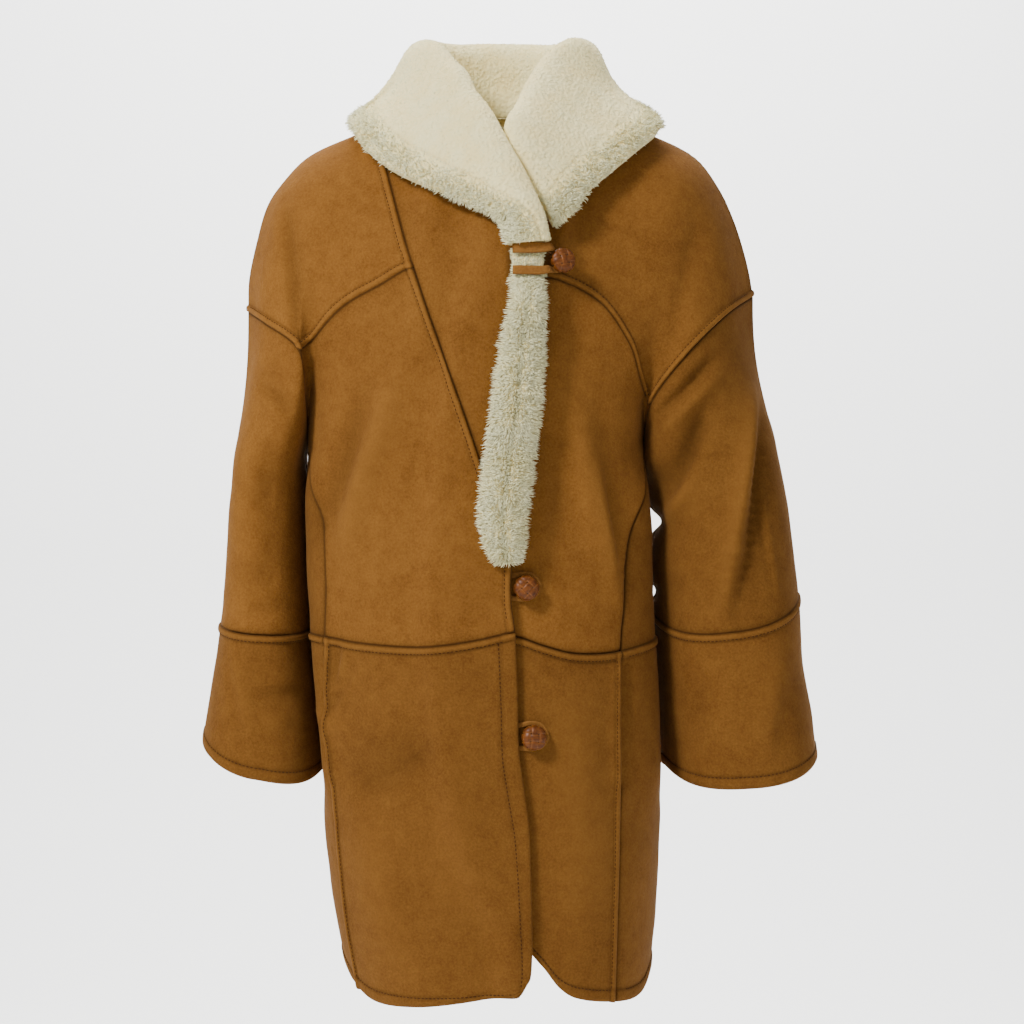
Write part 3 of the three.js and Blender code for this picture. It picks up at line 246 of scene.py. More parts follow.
# Folds: start, middle and end points (x, z), width and height; a trough is negative
FRONT_FOLDS = np.array([
    (-108, -250, -133, -331, -168, -440, 17, 6),
    (-128, -240, -156, -320, -186, -410, 16, -4),
    (-226, -63, -213, -145, -204, -222, 15, -6),
    (-72, -613, -112, -636, -160, -663, 24, -5),
    (-150, -690, -120, -740, -118, -840, 26, 4),
    (76, -262, 89, -346, 122, -480, 16, 6),
    (94, -262, 108, -346, 132, -440, 14, -4),
    (204, -52, 192, -120, 156, -262, 17, -6),
    (150, -330, 142, -400, 148, -470, 14, 3),
    (70, -560, 78, -680, 84, -840, 26, 4),
    (-40, -560, -52, -700, -40, -850, 30, 3),
], float)
# Sharper creases along the main folds, as the photograph shows them
FRONT_CREASES = np.array([
    (-229, -58, -219, -130, -209, -222, 5, -4.5),
    (-236, -58, -227, -130, -216, -222, 9, 2.5),
    (-114, -255, -140, -338, -163, -425, 10, 4),
    (-142, -262, -163, -338, -183, -415, 12, -5),
    (98, -335, 108, -400, 117, -478, 6, 3),
    (107, -335, 117, -400, 126, -478, 6, -4.5),
    (196, -50, 184, -120, 152, -262, 6, 2.5),
    (-186, -585, -176, -600, -160, -612, 7, 2.5),
    (-158, -545, -168, -570, -176, -590, 6, -2.5),
    (-150, -585, -163, -600, -175, -618, 6, 2),
    (-70, -620, -95, -645, -150, -668, 9, -3),
    (-20, -470, -60, -480, -95, -470, 14, 2),
    (40, -300, 55, -350, 60, -420, 16, -3),
    (20, -530, 60, -545, 110, -540, 12, -2),
    (-60, -190, -72, -215, -66, -250, 14, -2),
    (-166, -520, -168, -540, -171, -562, 4.5, -4),
    (-157, -520, -159, -545, -168, -582, 5, 3.5),
    (-142, -540, -158, -566, -168, -594, 4, 2.5),
    (-149, -545, -164, -572, -173, -594, 4, -2.5),
], float)
BACK_FOLDS = np.array([
    (-226, -70, -212, -145, -206, -222, 16, -6),
    (210, -60, 196, -130, 166, -262, 17, -6),
    (-120, -260, -140, -350, -150, -470, 18, 6),
    (108, -255, 118, -350, 122, -480, 18, 6),
    (-60, -420, -5, -440, 60, -415, 22, -5),
    (-95, -560, -100, -700, -92, -850, 26, 5),
    (20, -550, 26, -690, 18, -850, 28, 4),
    (90, -570, 96, -700, 100, -850, 24, 4),
], float)


class Sleeve:
    """A sleeve's sections down the arm (z, outer, inner, front, back) and its cuff's heights."""

    def __init__(self, side, sections, cuff_seam, rim, folds):
        self.side, self.sections, self.cuff_seam, self.rim = side, Curve(*sections), cuff_seam, rim
        self.folds = np.array(folds, float)
        self.front, self.back = ARMHOLES[side, FRONT], ARMHOLES[side, BACK]


RIGHT_SLEEVE = Sleeve(
    "right",
    [
        (-172, -269, -196, -88, 84), (-240, -275, -205, -86, 86), (-320, -282, -209, -82, 86),
        (-382, -288, -210, -78, 84), (-440, -292, -209, -76, 80), (-510, -298, -205, -77, 78),
        (-570, -307, -199, -80, 78), (-620, -315, -194, -82, 77), (-670, -318, -193, -82, 76),
    ],
    {"outer": -499, "front": -511, "inner": -506, "back": -505},
    {"outer": -620, "front": -660, "inner": -654, "back": -640},
    [
        (-254, -250, -236, -262, -212, -284, 12, -4),
        (-284, -350, -262, -368, -232, -372, 16, -5),
        (-285, -440, -262, -455, -228, -450, 18, -4),
        (-282, -526, -274, -566, -262, -608, 13, 4),
        (-252, -570, -226, -578, -200, -568, 12, -4),
        (-258, -249, -236, -260, -216, -284, 4.5, -3.5),
        (-262, -257, -240, -268, -219, -294, 7, 3),
        (-262, -228, -238, -232, -218, -226, 7, 2.5),
        (-262, -238, -240, -243, -220, -240, 5, -2),
        (-276, -300, -270, -360, -274, -430, 14, 4),
        (-240, -300, -232, -380, -238, -470, 14, -4),
        (-262, -480, -244, -488, -222, -482, 7, -2.5),
        (-284, -535, -276, -575, -270, -620, 6, -3),
        (-244, -592, -232, -600, -216, -602, 8, 3),
        (-256, -560, -240, -566, -214, -560, 6, 2.5),
    ],
)
LEFT_SLEEVE = Sleeve(
    "left",
    [
        (-156, 266, 190, -86, 84), (-223, 275, 166, -88, 86), (-300, 287, 154, -92, 84),
        (-371, 301, 162, -96, 80), (-400, 305, 166, -97, 79), (-434, 309, 163, -98, 78),
        (-473, 313, 165, -99, 77), (-540, 317, 169, -98, 76), (-600, 327, 172, -98, 76),
        (-670, 336, 180, -96, 74),
    ],
    {"outer": -467, "front": -507, "inner": -492, "back": -484},
    {"outer": -636, "front": -668, "inner": -652, "back": -648},
    [
        (262, -250, 256, -324, 224, -489, 14, 7),
        (280, -262, 276, -340, 252, -500, 15, -8),
        (214, -276, 196, -320, 164, -366, 16, -8),
        (224, -225, 190, -262, 152, -296, 10, -4),
        (200, -352, 186, -372, 166, -392, 12, 5),
        (300, -520, 280, -560, 270, -630, 16, 4),
        (196, -540, 204, -590, 200, -640, 14, -3),
        (222, -222, 188, -258, 146, -293, 4.5, -7),
        (228, -237, 196, -272, 158, -306, 9, 6),
        (214, -222, 204, -238, 190, -246, 4, -2.5),
        (209, -279, 196, -322, 160, -384, 10, -7),
        (212, -300, 197, -352, 162, -404, 8, 5.5),
        (263, -250, 259, -322, 228, -488, 7, 6),
        (274, -254, 271, -325, 240, -492, 7, -9),
        (264, -335, 268, -400, 280, -474, 2.8, -3),
        (270, -335, 274, -400, 286, -474, 3.6, 2.6),
        (200, -320, 214, -318, 229, -322, 3.5, 3),
        (196, -326, 212, -325, 226, -329, 4, -2),
        (232, -425, 246, -418, 262, -428, 8, 2.5),
        (176, -440, 198, -446, 216, -440, 9, 2),
        (300, -560, 285, -600, 290, -640, 10, -3),
    ],
)


# The body's surface: s runs from the right side to the left one over the front or the back,
# t from the shoulder line (0) over armpit level (1) to the hem (2)
def ring_point(side, s, z):
    left, right, front, back = np.moveaxis(BODY(z), -1, 0)
    depth = front if side == FRONT else back
    turn = np.pi * np.clip(s, 0, 1)
    x = (left + right) / 2 - (right - left) / 2 * rounded(np.cos(turn))
    return np.stack(np.broadcast_arrays(x, depth * rounded(np.sin(turn)), z), -1)


class Layer:
    """One sheet of the body: a front or the back, with its neckline, hem and folds."""

    def __init__(self, side, neckline, hem, folds, over=False):
        self.side, self.neckline, self.folds, self.over = side, neckline, folds, over
        self.shares = np.linspace(0, 1, 97)
        z = np.full(97, -870.0)
        for _ in range(12):
            z = hem(ring_point(side, self.shares, z)[..., 0])
        self.hem = z

    def top(self, s):
        outer = np.where((s < 0.5)[..., None], RIGHT_SHOULDER(s), LEFT_SHOULDER(s))
        on_neck = (s > NECK_POINT) & (s < 1 - NECK_POINT)
        return np.where(on_neck[..., None], self.neckline(s), outer)

    def plain_upper(self, s, t):
        top, low = self.top(s), ring_point(self.side, s, np.full(np.shape(s), ARMPIT))
        angle = np.pi / 2 * t * (1.35 - 0.35 * t)
        return np.stack([
            mix(top[..., 0], low[..., 0], t ** 1.3),
            mix(top[..., 1], low[..., 1], np.sin(angle)),
            mix(low[..., 2], top[..., 2], np.cos(angle)),
        ], -1)

    def upper(self, s, t):
        right = (s < 0.5)[..., None]
        start = np.where(right, ARMHOLES["right", self.side](t), ARMHOLES["left", self.side](t))
        edge = np.where(s < 0.5, 0.0, 1.0)
        pull = start - self.plain_upper(edge, t)
        plain = self.plain_upper(s, t)
        away = np.where(s < 0.5, s, 1 - s)
        weight = 1 - ease(away / ARMHOLE_REACH)
        seam_depth = np.abs(start[..., 1]) * (1 - 0.15 * ease(2 * away))
        out = plain[..., 1] * self.side
        depth = (np.maximum(out, 0) ** 6 + seam_depth ** 6) ** (1 / 6) + np.minimum(out, 0)
        return np.stack([
            plain[..., 0] + pull[..., 0] * weight, depth * self.side,
            plain[..., 2] + pull[..., 2] * weight,
        ], -1)

    def point(self, s, t):
        s, t = np.broadcast_arrays(np.asarray(s, float), np.asarray(t, float))
        hem = np.interp(s, self.shares, self.hem)
        lower = ring_point(self.side, s, mix(ARMPIT, hem, np.maximum(t - 1, 0)))
        return np.where((t <= 1)[..., None], self.upper(s, np.clip(t, 0, 1)), lower)

    def normal(self, s, t):
        step = 0.004
        low, high = np.where(t > 1, 1.0001, 0.0), np.where(t > 1, 2.0, 1.0)
        across = self.point(np.minimum(s + step, 1), t) - self.point(np.maximum(s - step, 0), t)
        along = (self.point(s, np.clip(t + step, low, high))
                 - self.point(s, np.clip(t - step, low, high)))
        return unit(np.cross(across, along)) * self.side


FRONT_FOLDS = np.concatenate([FRONT_FOLDS, FRONT_CREASES])


def fold_height(folds, x, z):
    """The height of the folds at places on a sheet."""
    total = np.zeros(np.shape(x))
    f = np.linspace(0, 1, 25)
    for x0, z0, x1, z1, x2, z2, width, height in folds:
        px = (1 - f) ** 2 * x0 + 2 * f * (1 - f) * x1 + f * f * x2
        pz = (1 - f) ** 2 * z0 + 2 * f * (1 - f) * z1 + f * f * z2
        away = np.hypot(x[..., None] - px, z[..., None] - pz)
        share = f[np.argmin(away, -1)]
        taper = np.sqrt(np.sin(np.pi * np.clip(share, 0.02, 0.98)))
        total += height * taper * np.exp(-((away.min(-1) / width) ** 2))
    return total


RIGHT_FRONT = Layer(FRONT, RIGHT_NECKLINE, RIGHT_HEM, FRONT_FOLDS, over=True)
LEFT_FRONT = Layer(FRONT, LEFT_NECKLINE, LEFT_HEM, FRONT_FOLDS)
BACK_SHEET = Layer(BACK, BACK_NECKLINE, BACK_HEM, BACK_FOLDS)


# The body's sides stand out toward the front and the sleeves reach in behind them
def side_run(z):
    return ease((-312 - z) / 60) * (1 - ease((-z - 640) / 70))


def lean_body(points):
    x, y, z = np.moveaxis(points, -1, 0)
    left, right = np.moveaxis(BODY(z)[..., :2], -1, 0)
    out = (x - (left + right) / 2) / ((right - left) / 2)
    near = side_run(z) * ease((np.abs(out) - 0.72) / 0.2) * np.sign(out)
    shift = 8 * np.exp(-(((y + 78) / 38) ** 2)) - 12 * np.exp(-(((y - 28) / 45) ** 2))
    moved = points.copy()
    moved[..., 0] += near * shift
    return moved


def lean_sleeve(points, sleeve, share):
    z = points[..., 2]
    reach = 9.0 * side_run(z) * ease((share - 0.55) / 0.35) * np.exp(-(((points[..., 1] - 28) / 50) ** 2))
    if sleeve.side == "left":
        open_gaps = 1.5 * np.exp(-(((z + 393) / 10) ** 2)) + 0.75 * np.exp(-(((z + 467) / 8) ** 2))
        reach = -reach * (1 - open_gaps) - 8 * np.exp(-(((z + 330) / 20) ** 2)) * ease((share - 0.55) / 0.35)
    moved = points.copy()
    moved[..., 0] += reach
    return moved


def cloth(layer, s, t):
    """Points of a body sheet with their normals, folds and overlap included."""
    base, normal = layer.point(s, t), layer.normal(s, t)
    side_fade = ease((np.minimum(s, 1 - s) - 0.004) / 0.04)
    fold = fold_height(layer.folds, base[..., 0], base[..., 2]) * side_fade
    lift = 0.0
    if layer.over:
        inside = base[..., 0] - HIDDEN_EDGE(base[..., 2])
        lift = OVERLAP_LIFT * ease((inside + OVERLAP_RAMP + 4) / OVERLAP_RAMP)
    return lean_body(base + normal * (fold + lift)[..., None]), normal, fold


# Rows: functions of s that give t
def fixed_row(t):
    return lambda s: np.full(np.shape(s), float(t))


def seam_row(layer, seam, low, high):
    shares = np.linspace(0, 1, 97)

    def rising(t):
        at = layer.point(shares, t)
        return seam(at[..., 0]) - at[..., 2]

    found = bisect(rising, low, high, shares.shape)
    return lambda s: np.interp(s, shares, found)


# Edges: for each row, the s at which it crosses a seam
def fixed_edge(s):
    return lambda row, count: np.full(count, float(s))


def seam_edge(layer, seam, low, high):
    def edge(row, count):
        def rising(s):
            at = layer.point(s, row(s))
            return at[..., 0] - seam(at[..., 2])
        return bisect(rising, low, high, count)
    return edge


def side_edge(layer, seam, at_left):
    def edge(row, count):
        share = np.full(count, 0.1)
        for _ in range(8):
            s = 1 - share if at_left else share
            share = seam(layer.point(s, row(s))[..., 2])
        return 1 - share if at_left else share
    return edge


class Stops:
    """Places along a panel: some a distance from its start or end, the rest evenly between."""

    def __init__(self, start, inner, end):
        self.start, self.end = np.array(start, float), np.array(end, float)
        self.inner = inner
        self.count = len(start) + inner + 1 + len(end)

    def shares(self, length):
        """One share for each stop, with the shape (count,) + length's shape."""
        length = np.asarray(length, float)
        reach_start = self.start[-1] * 1.25 if len(self.start) else 0.0
        reach_end = self.end[0] * 1.25 if len(self.end) else 0.0
        narrow = np.minimum(1, 0.35 * length / max(reach_start, reach_end, 0.001))
        rows = [mm * narrow / length for mm in self.start]
        first, last = reach_start * narrow / length, 1 - reach_end * narrow / length
        rows += [mix(first, last, i / self.inner) for i in range(self.inner + 1)]
        rows += [1 - mm * narrow / length for mm in self.end]
        return np.stack(np.broadcast_arrays(*rows))


SEAM_STOPS = [0, 0.8, 2.2, 4.5]
BAND_STOPS = [0, 0.8, 2.0, 4.0, 6.2, 7.4, 8.2, 9.2, 10.5, 12.5]
HEM_STOPS = [0, 1.0, 2.4, 5.0, 9.0, 11.2, 12.2, 13.4, 15.5]
EDGE_STOPS = [0, 1.0, 2.4, 4.4, 6.0, 7.4, 10.0, 13.5, 16.8, 18.0, 19.2, 22.0]
STOPS = {"seam": SEAM_STOPS, "band": BAND_STOPS, "hem": HEM_STOPS, "edge": EDGE_STOPS, "plain": []}


def stops_between(start, inner, end):
    return Stops(STOPS[start], inner, STOPS[end][::-1])


# Height over the cloth and painted shade, by the distance from each kind of edge
def edge_profile(kind, away):
    """(height, shade) of a seam, turned band, hem or front edge; shade is painted shade that darkens the
    suede in the grooves, under the bands and along the stitch lines, and a negative shade is a painted
    highlight on the band's crest.
    """
    away = np.asarray(away, float)
    groove = -1.5 * np.exp(-((away / 1.1) ** 2))
    line = np.exp(-((away / 1.3) ** 2))
    if kind == "seam":
        return groove - 0.5 * np.exp(-((away / 5) ** 2)), line + 0.35 * np.exp(-((away / 5) ** 2))
    if kind == "band":
        crest = BAND_RAISE * ease(away / 2.2) * (1 - ease((away - 6.2) / 2.2))
        stitch = -0.5 * np.exp(-(((away - 7.0) / 0.9) ** 2))
        # Painted shade under the band, and a painted highlight on its crest
        shade = line + 0.4 * np.exp(-(((away - 8.8) / 1.3) ** 2))
        shade -= 0.35 * np.exp(-(((away - 3.4) / 2.2) ** 2))
        return groove + crest + stitch, shade
    if kind == "hem":
        crest = 1.1 * ease(away / 2) * (1 - ease((away - 11) / 3))
        stitch = -0.7 * np.exp(-(((away - 12.2) / 1.1) ** 2))
        round_off = -1.4 * np.exp(-((away / 1.4) ** 2))
        return crest + stitch + round_off, 0.5 * np.exp(-(((away - 12.8) / 1.8) ** 2))
    if kind == "edge":
        stitch = -0.55 * np.exp(-(((away - 18) / 1.1) ** 2))
        near = -0.35 * np.exp(-(((away - 6) / 1.0) ** 2))
        return stitch + near - 1.8 * np.exp(-((away / 1.8) ** 2)), 0.35 * np.exp(-((away - 18) ** 2) / 3)
    return np.zeros(away.shape), np.zeros(away.shape)


def path_lengths(points, axis):
    """Distance along each line of a grid from its start."""
    steps = np.linalg.norm(np.diff(points, axis=axis), axis=-1)
    sums = np.cumsum(steps, axis=axis)
    pad = [(0, 0), (0, 0)]
    pad[axis] = (1, 0)
    return np.pad(sums, pad)


# The pocket in the right side seam, and the slit that the top loop comes out of
POCKET_TOP, POCKET_END = -530, -668
SLIT_X, SLIT_TOP, SLIT_END = 11.5, -115, -149


def openings(name, points, away):
    """Height and painted shade of the slits in a panel: the shade is painted into the slit and into the
    pocket's mouth.
    """
    x, z = points[..., 0], points[..., 2]
    nothing = np.zeros(x.shape)
    if name == "R_front_center":
        run = ease((SLIT_TOP - z) / 3) * ease((z - SLIT_END) / 3)
        slit = run * np.exp(-(((x - SLIT_X) / 1.1) ** 2))
        return -2.2 * slit, 1.4 * slit
    side = {"R_front_lower": "left", "R_side_lower": "right", "L_front_lower": "right",
            "L_side_lower": "right"}.get(name)
    if side is None:
        return nothing, nothing
    run = ease((POCKET_TOP - z) / 12) * ease((z - POCKET_END) / 12)
    from_seam = away[side]
    lip = 2.6 if "front" in name else -4.5
    height = run * (lip * np.exp(-(((from_seam - 6) / 7) ** 2)) - 2.5 * np.exp(-((from_seam / 2.6) ** 2)))
    return height, run * np.exp(-((from_seam / 3.2) ** 2))


def cut_size(points):
    """The smallest rectangle that the cut lies in when it is laid flat, and its area."""
    middle = points.shape[1] // 2
    down, over = path_lengths(points, 0)[:, middle], path_lengths(points, 1)
    u, v = over - over[:, middle:middle + 1], np.broadcast_to(down[:, None], over.shape)
    sizes = []
    for angle in np.radians(np.arange(0, 90, 3)):
        a, b = u * math.cos(angle) + v * math.sin(angle), v * math.cos(angle) - u * math.sin(angle)
        sizes.append((np.ptp(a) * np.ptp(b), np.ptp(a), np.ptp(b)))
    _, width, length = min(sizes)
    cross = np.cross(points[1:, 1:] - points[:-1, :-1], points[:-1, 1:] - points[1:, :-1])
    area = np.linalg.norm(cross, axis=-1).sum() / 2
    return (float(width), float(length)), float(area)


class Panel:
    """A cut piece: a grid of points with normals, and the kinds of its four edges."""

    def __init__(self, name, points, normals, fold, top, bottom, left, right, panel_tone_and_painted_light):
        self.name, self.normals, self.panel_tone_and_painted_light = name, normals, panel_tone_and_painted_light
        self.kinds = {"top": top, "bottom": bottom, "left": left, "right": right}
        down, over = path_lengths(points, 0), path_lengths(points, 1)
        self.away = {
            "top": down, "bottom": down[-1:] - down, "left": over, "right": over[:, -1:] - over,
        }
        height, shade = np.zeros(fold.shape), np.zeros(fold.shape)
        for side, kind in (("top", top), ("bottom", bottom), ("left", left), ("right", right)):
            if kind == "plain":
                continue
            rise, dark = edge_profile(kind, self.away[side])
            lower = rise < 0
            height = np.where(lower, height + rise, np.maximum(height, rise))
            shade = shade + dark
        dent, dark = openings(name, points, self.away)
        height, shade = height + dent, shade + dark
        wave = 0.9 * noise(points, 62, 3) + 0.5 * noise(points, 27, 5)
        edge = np.minimum.reduce(list(self.away.values()))
        height = height + wave * ease(edge / 14)
        # Painted shade in the fold troughs and a painted highlight on the ridges, on top of the edges'
        # painted shade
        self.shade = np.clip(1.15 * shade - 0.05 * fold, -0.4, 1.3)
        self.points = points + normals * height[..., None]
        self.flat, self.area = cut_size(self.points)


def body_grid(layer, tiers, left, right, columns):
    """Points of a panel. tiers: (top row, bottom row, stops, run, and its own left and right edges
    or none), laid one below the other."""
    parts = []
    for top, bottom, stops, run, *own_edges in tiers:
        left_edge, right_edge = own_edges or (left, right)
        index = np.arange(stops.count)

        def row(s, top=top, bottom=bottom, stops=stops, run=run, index=index):
            shape = s.shape
            length = np.maximum((bottom(s) - top(s)) * run, 1.0)
            rows = index.reshape((1, -1) + (1,) * (s.ndim - 1)) * np.ones((1,) + shape, int)
            share = np.take_along_axis(stops.shares(length), rows, 0)[0]
            return mix(top(s), bottom(s), share)

        s_left, s_right = left_edge(row, stops.count), right_edge(row, stops.count)
        fine = mix(s_left[:, None], s_right[:, None], np.linspace(0, 1, 9)[None, :])
        chord = layer.point(fine, row(fine))
        width = np.linalg.norm(np.diff(chord, axis=1), axis=-1).sum(1)
        shares = columns.shares(np.maximum(width, 1.0)).T
        s = mix(s_left[:, None], s_right[:, None], shares)
        parts.append((s, row(s)))
    s = np.concatenate([p[0] if i == 0 else p[0][1:] for i, p in enumerate(parts)])
    t = np.concatenate([p[1] if i == 0 else p[1][1:] for i, p in enumerate(parts)])
    return s, t


SHOULDER, ARMPIT_ROW, HEM_ROW = fixed_row(0), fixed_row(1), fixed_row(2)
ROWS = {
    "right": (seam_row(RIGHT_FRONT, RIGHT_YOKE, 0.02, 0.98), seam_row(RIGHT_FRONT, RIGHT_WAIST, 1.001, 1.9)),
    "left": (seam_row(LEFT_FRONT, LEFT_YOKE, 0.02, 0.98), seam_row(LEFT_FRONT, LEFT_WAIST, 1.001, 1.9)),
    "back": (seam_row(BACK_SHEET, BACK_YOKE, 0.02, 0.98), seam_row(BACK_SHEET, BACK_WAIST, 1.001, 1.9)),
}
slant_edge = seam_edge(RIGHT_FRONT, SLANT, 0.1, 0.7)
open_edge = seam_edge(RIGHT_FRONT, RIGHT_EDGE, 0.4, 0.75)
hidden_edge = seam_edge(LEFT_FRONT, HIDDEN_EDGE, 0.3, 0.6)
right_side = side_edge(RIGHT_FRONT, SIDES["right", FRONT], False)
left_side = side_edge(LEFT_FRONT, SIDES["left", FRONT], True)
right_behind = side_edge(BACK_SHEET, SIDES[BACK], False)
left_behind = side_edge(BACK_SHEET, SIDES[BACK], True)
SLANT_END = 1.215


def slant_or_open(row, count):
    slant = slant_edge(row, count)
    return np.where(row(slant) < SLANT_END, slant, open_edge(row, count))


# Brightness of each panel's suede: partly the hides' own tones, partly painted light and shade for how
# brightly each panel is lit
PANEL_TONES_AND_PAINTED_LIGHT = {
    "R_front_yoke": 1.2, "R_front_center": 1.06, "R_front_upper": 1.08, "R_front_lower": 0.88,
    "L_front_yoke": 1.06, "L_front_upper": 1.2, "L_front_lower": 0.93, "back_yoke": 1.0,
    "back_upper": 1.0, "back_lower": 0.96, "R_side_upper": 0.9, "R_side_lower": 0.92,
    "L_side_upper": 0.92, "L_side_lower": 0.92, "R_sleeve_front": 1.16, "R_sleeve_back": 1.0,
    "R_cuff": 0.92, "L_sleeve_front": 0.86, "L_sleeve_back": 0.9, "L_cuff": 0.9,
}


def body_panel(name, layer, tiers, left, right, columns, kinds):
    s, t = body_grid(layer, tiers, left, right, columns)
    points, normals, fold = cloth(layer, s, t)
    return Panel(name, points, normals, fold, *kinds, PANEL_TONES_AND_PAINTED_LIGHT[name])


def front_panels():
    yoke, waist = ROWS["right"]
    yield body_panel(
        "R_front_yoke", RIGHT_FRONT, [(SHOULDER, yoke, stops_between("seam", 32, "band"), UPPER_RUN)],
        fixed_edge(0), slant_edge, stops_between("band", 34, "band"), ("seam", "band", "band", "band"))
    chest = (yoke, ARMPIT_ROW, stops_between("seam", 28, "plain"), UPPER_RUN, fixed_edge(0), slant_edge)
    lower = (ARMPIT_ROW, waist, stops_between("plain", 46, "seam"), SKIRT_RUN, right_side, slant_or_open)
    yield body_panel(
        "R_front_upper", RIGHT_FRONT, [chest, lower], None, None, stops_between("seam", 42, "band"),
        ("seam", "seam", "seam", "band"))
    yield body_panel(
        "R_front_lower", RIGHT_FRONT, [(waist, HEM_ROW, stops_between("band", 70, "hem"), SKIRT_RUN)],
        right_side, open_edge, stops_between("band", 34, "edge"), ("band", "hem", "band", "edge"))
    centre = [
        (SHOULDER, yoke, stops_between("seam", 24, "plain"), UPPER_RUN),
        (yoke, ARMPIT_ROW, stops_between("plain", 22, "plain"), UPPER_RUN),
        (ARMPIT_ROW, fixed_row(SLANT_END), stops_between("plain", 18, "plain"), SKIRT_RUN),
    ]
    yield body_panel(
        "R_front_center", RIGHT_FRONT, centre, slant_edge, open_edge, stops_between("seam", 20, "seam"),
        ("seam", "plain", "seam", "seam"))
    yoke, waist = ROWS["left"]
    yield body_panel(
        "L_front_yoke", LEFT_FRONT, [(SHOULDER, yoke, stops_between("seam", 26, "band"), UPPER_RUN)],
        hidden_edge, fixed_edge(1), stops_between("plain", 34, "band"), ("seam", "band", "plain", "band"))
    chest = (yoke, ARMPIT_ROW, stops_between("seam", 28, "plain"), UPPER_RUN, hidden_edge, fixed_edge(1))
    lower = (ARMPIT_ROW, waist, stops_between("plain", 46, "seam"), SKIRT_RUN, hidden_edge, left_side)
    yield body_panel(
        "L_front_upper", LEFT_FRONT, [chest, lower], None, None, stops_between("plain", 50, "seam"),
        ("seam", "seam", "plain", "seam"))
    yield body_panel(
        "L_front_lower", LEFT_FRONT, [(waist, HEM_ROW, stops_between("band", 48, "hem"), SKIRT_RUN)],
        hidden_edge, left_side, stops_between("hem", 26, "band"), ("band", "hem", "plain", "band"))


def back_panels():
    yoke, waist = ROWS["back"]
    yield body_panel(
        "back_yoke", BACK_SHEET, [(SHOULDER, yoke, stops_between("seam", 20, "band"), UPPER_RUN)],
        fixed_edge(0), fixed_edge(1), stops_between("band", 64, "band"), ("seam", "band", "band", "band"))
    chest = (yoke, ARMPIT_ROW, stops_between("seam", 16, "plain"), UPPER_RUN, fixed_edge(0), fixed_edge(1))
    lower = (ARMPIT_ROW, waist, stops_between("plain", 24, "seam"), SKIRT_RUN, right_behind, left_behind)
    yield body_panel(
        "back_upper", BACK_SHEET, [chest, lower], None, None, stops_between("seam", 50, "seam"),
        ("seam", "seam", "seam", "seam"))
    yield body_panel(
        "back_lower", BACK_SHEET, [(waist, HEM_ROW, stops_between("band", 40, "hem"), SKIRT_RUN)],
        right_behind, left_behind, stops_between("band", 42, "band"), ("band", "hem", "band", "band"))


def side_panel(name, layer, side, rows, rows_behind, front_edge, back_edge, stops, kinds):
    """A side panel bends round the side: negative places lie on the back sheet."""
    index = np.arange(stops.count)

    def row_of(top, bottom):
        def row(s):
            shares = stops.shares(np.maximum((bottom(s) - top(s)) * SKIRT_RUN, 1.0))
            pick = index.reshape((1, -1) + (1,) * (s.ndim - 1)) * np.ones((1,) + s.shape, int)
            return mix(top(s), bottom(s), np.take_along_axis(shares, pick, 0)[0])
        return row

    front_row, back_row = row_of(*rows), row_of(*rows_behind)
    flip = (lambda s: 1 - s) if side == "left" else (lambda s: s)
    front = flip(front_edge(front_row, stops.count))
    behind = flip(back_edge(back_row, stops.count))
    columns = stops_between("seam", 26, "seam")
    width = np.full(stops.count, 190.0)
    place = mix(-behind[:, None], front[:, None], columns.shares(width).T)
    s = flip(np.abs(place))
    on_back = (place < 0)[..., None]
    ahead = cloth(layer, s, front_row(s))
    back = cloth(BACK_SHEET, s, back_row(s))
    points = np.where(on_back, back[0], ahead[0])
    normals = unit(np.where(on_back, back[1], ahead[1]))
    fold = np.where(on_back[..., 0], back[2], ahead[2])
    return Panel(name, points, normals, fold, *kinds, PANEL_TONES_AND_PAINTED_LIGHT[name])


def side_panels():
    upper, lower = stops_between("plain", 30, "seam"), stops_between("band", 44, "hem")
    for side, layer, front_edge, back_edge in (
            ("right", RIGHT_FRONT, right_side, right_behind), ("left", LEFT_FRONT, left_side, left_behind)):
        letter = side[0].upper()
        waist, back_waist = ROWS[side][1], ROWS["back"][1]
        yield side_panel(
            f"{letter}_side_upper", layer, side, (ARMPIT_ROW, waist), (ARMPIT_ROW, back_waist),
            front_edge, back_edge, upper, ("plain", "seam", "seam", "seam"))
        yield side_panel(
            f"{letter}_side_lower", layer, side, (waist, HEM_ROW), (back_waist, HEM_ROW),
            front_edge, back_edge, lower, ("band", "hem", "seam", "seam"))


# Sleeves: turn runs round the arm, 0 outer, 0.5 front, 1 inner, 1.5 back;
# down runs from the drop seam (0) over the cuff seam (1) to the rim (2)
def around_arm(heights, turn):
    share = np.where(turn > 1, 2 - turn, turn)
    mean = (heights["outer"] + heights["inner"]) / 2
    middle = np.where(turn > 1, heights["back"], heights["front"]) - mean
    straight = mix(heights["outer"], heights["inner"], (1 - np.cos(np.pi * share)) / 2)
    return straight + middle * np.sin(np.pi * share)


def sleeve_point(sleeve, turn, down):
    turn, down = np.broadcast_arrays(np.asarray(turn, float) % 2, np.asarray(down, float))
    share = np.where(turn > 1, 2 - turn, turn)
    start = np.where((turn > 1)[..., None], sleeve.back(share), sleeve.front(share))
    seam = around_arm(sleeve.cuff_seam, turn)
    z = np.where(
        down < 1, mix(start[..., 2], seam, down), mix(seam, around_arm(sleeve.rim, turn), down - 1))
    outer, inner, front, back = np.moveaxis(sleeve.sections(z), -1, 0)
    depth = np.where(turn > 1, back, front)
    x = (outer + inner) / 2 + (outer - inner) / 2 * rounded(np.cos(np.pi * share))
    y = depth * rounded(np.sin(np.pi * share))
    settled = ease(down / mix(0.5, 0.09, share ** 4))
    return np.stack([mix(start[..., 0], x, settled), mix(start[..., 1], y, settled), z], -1)


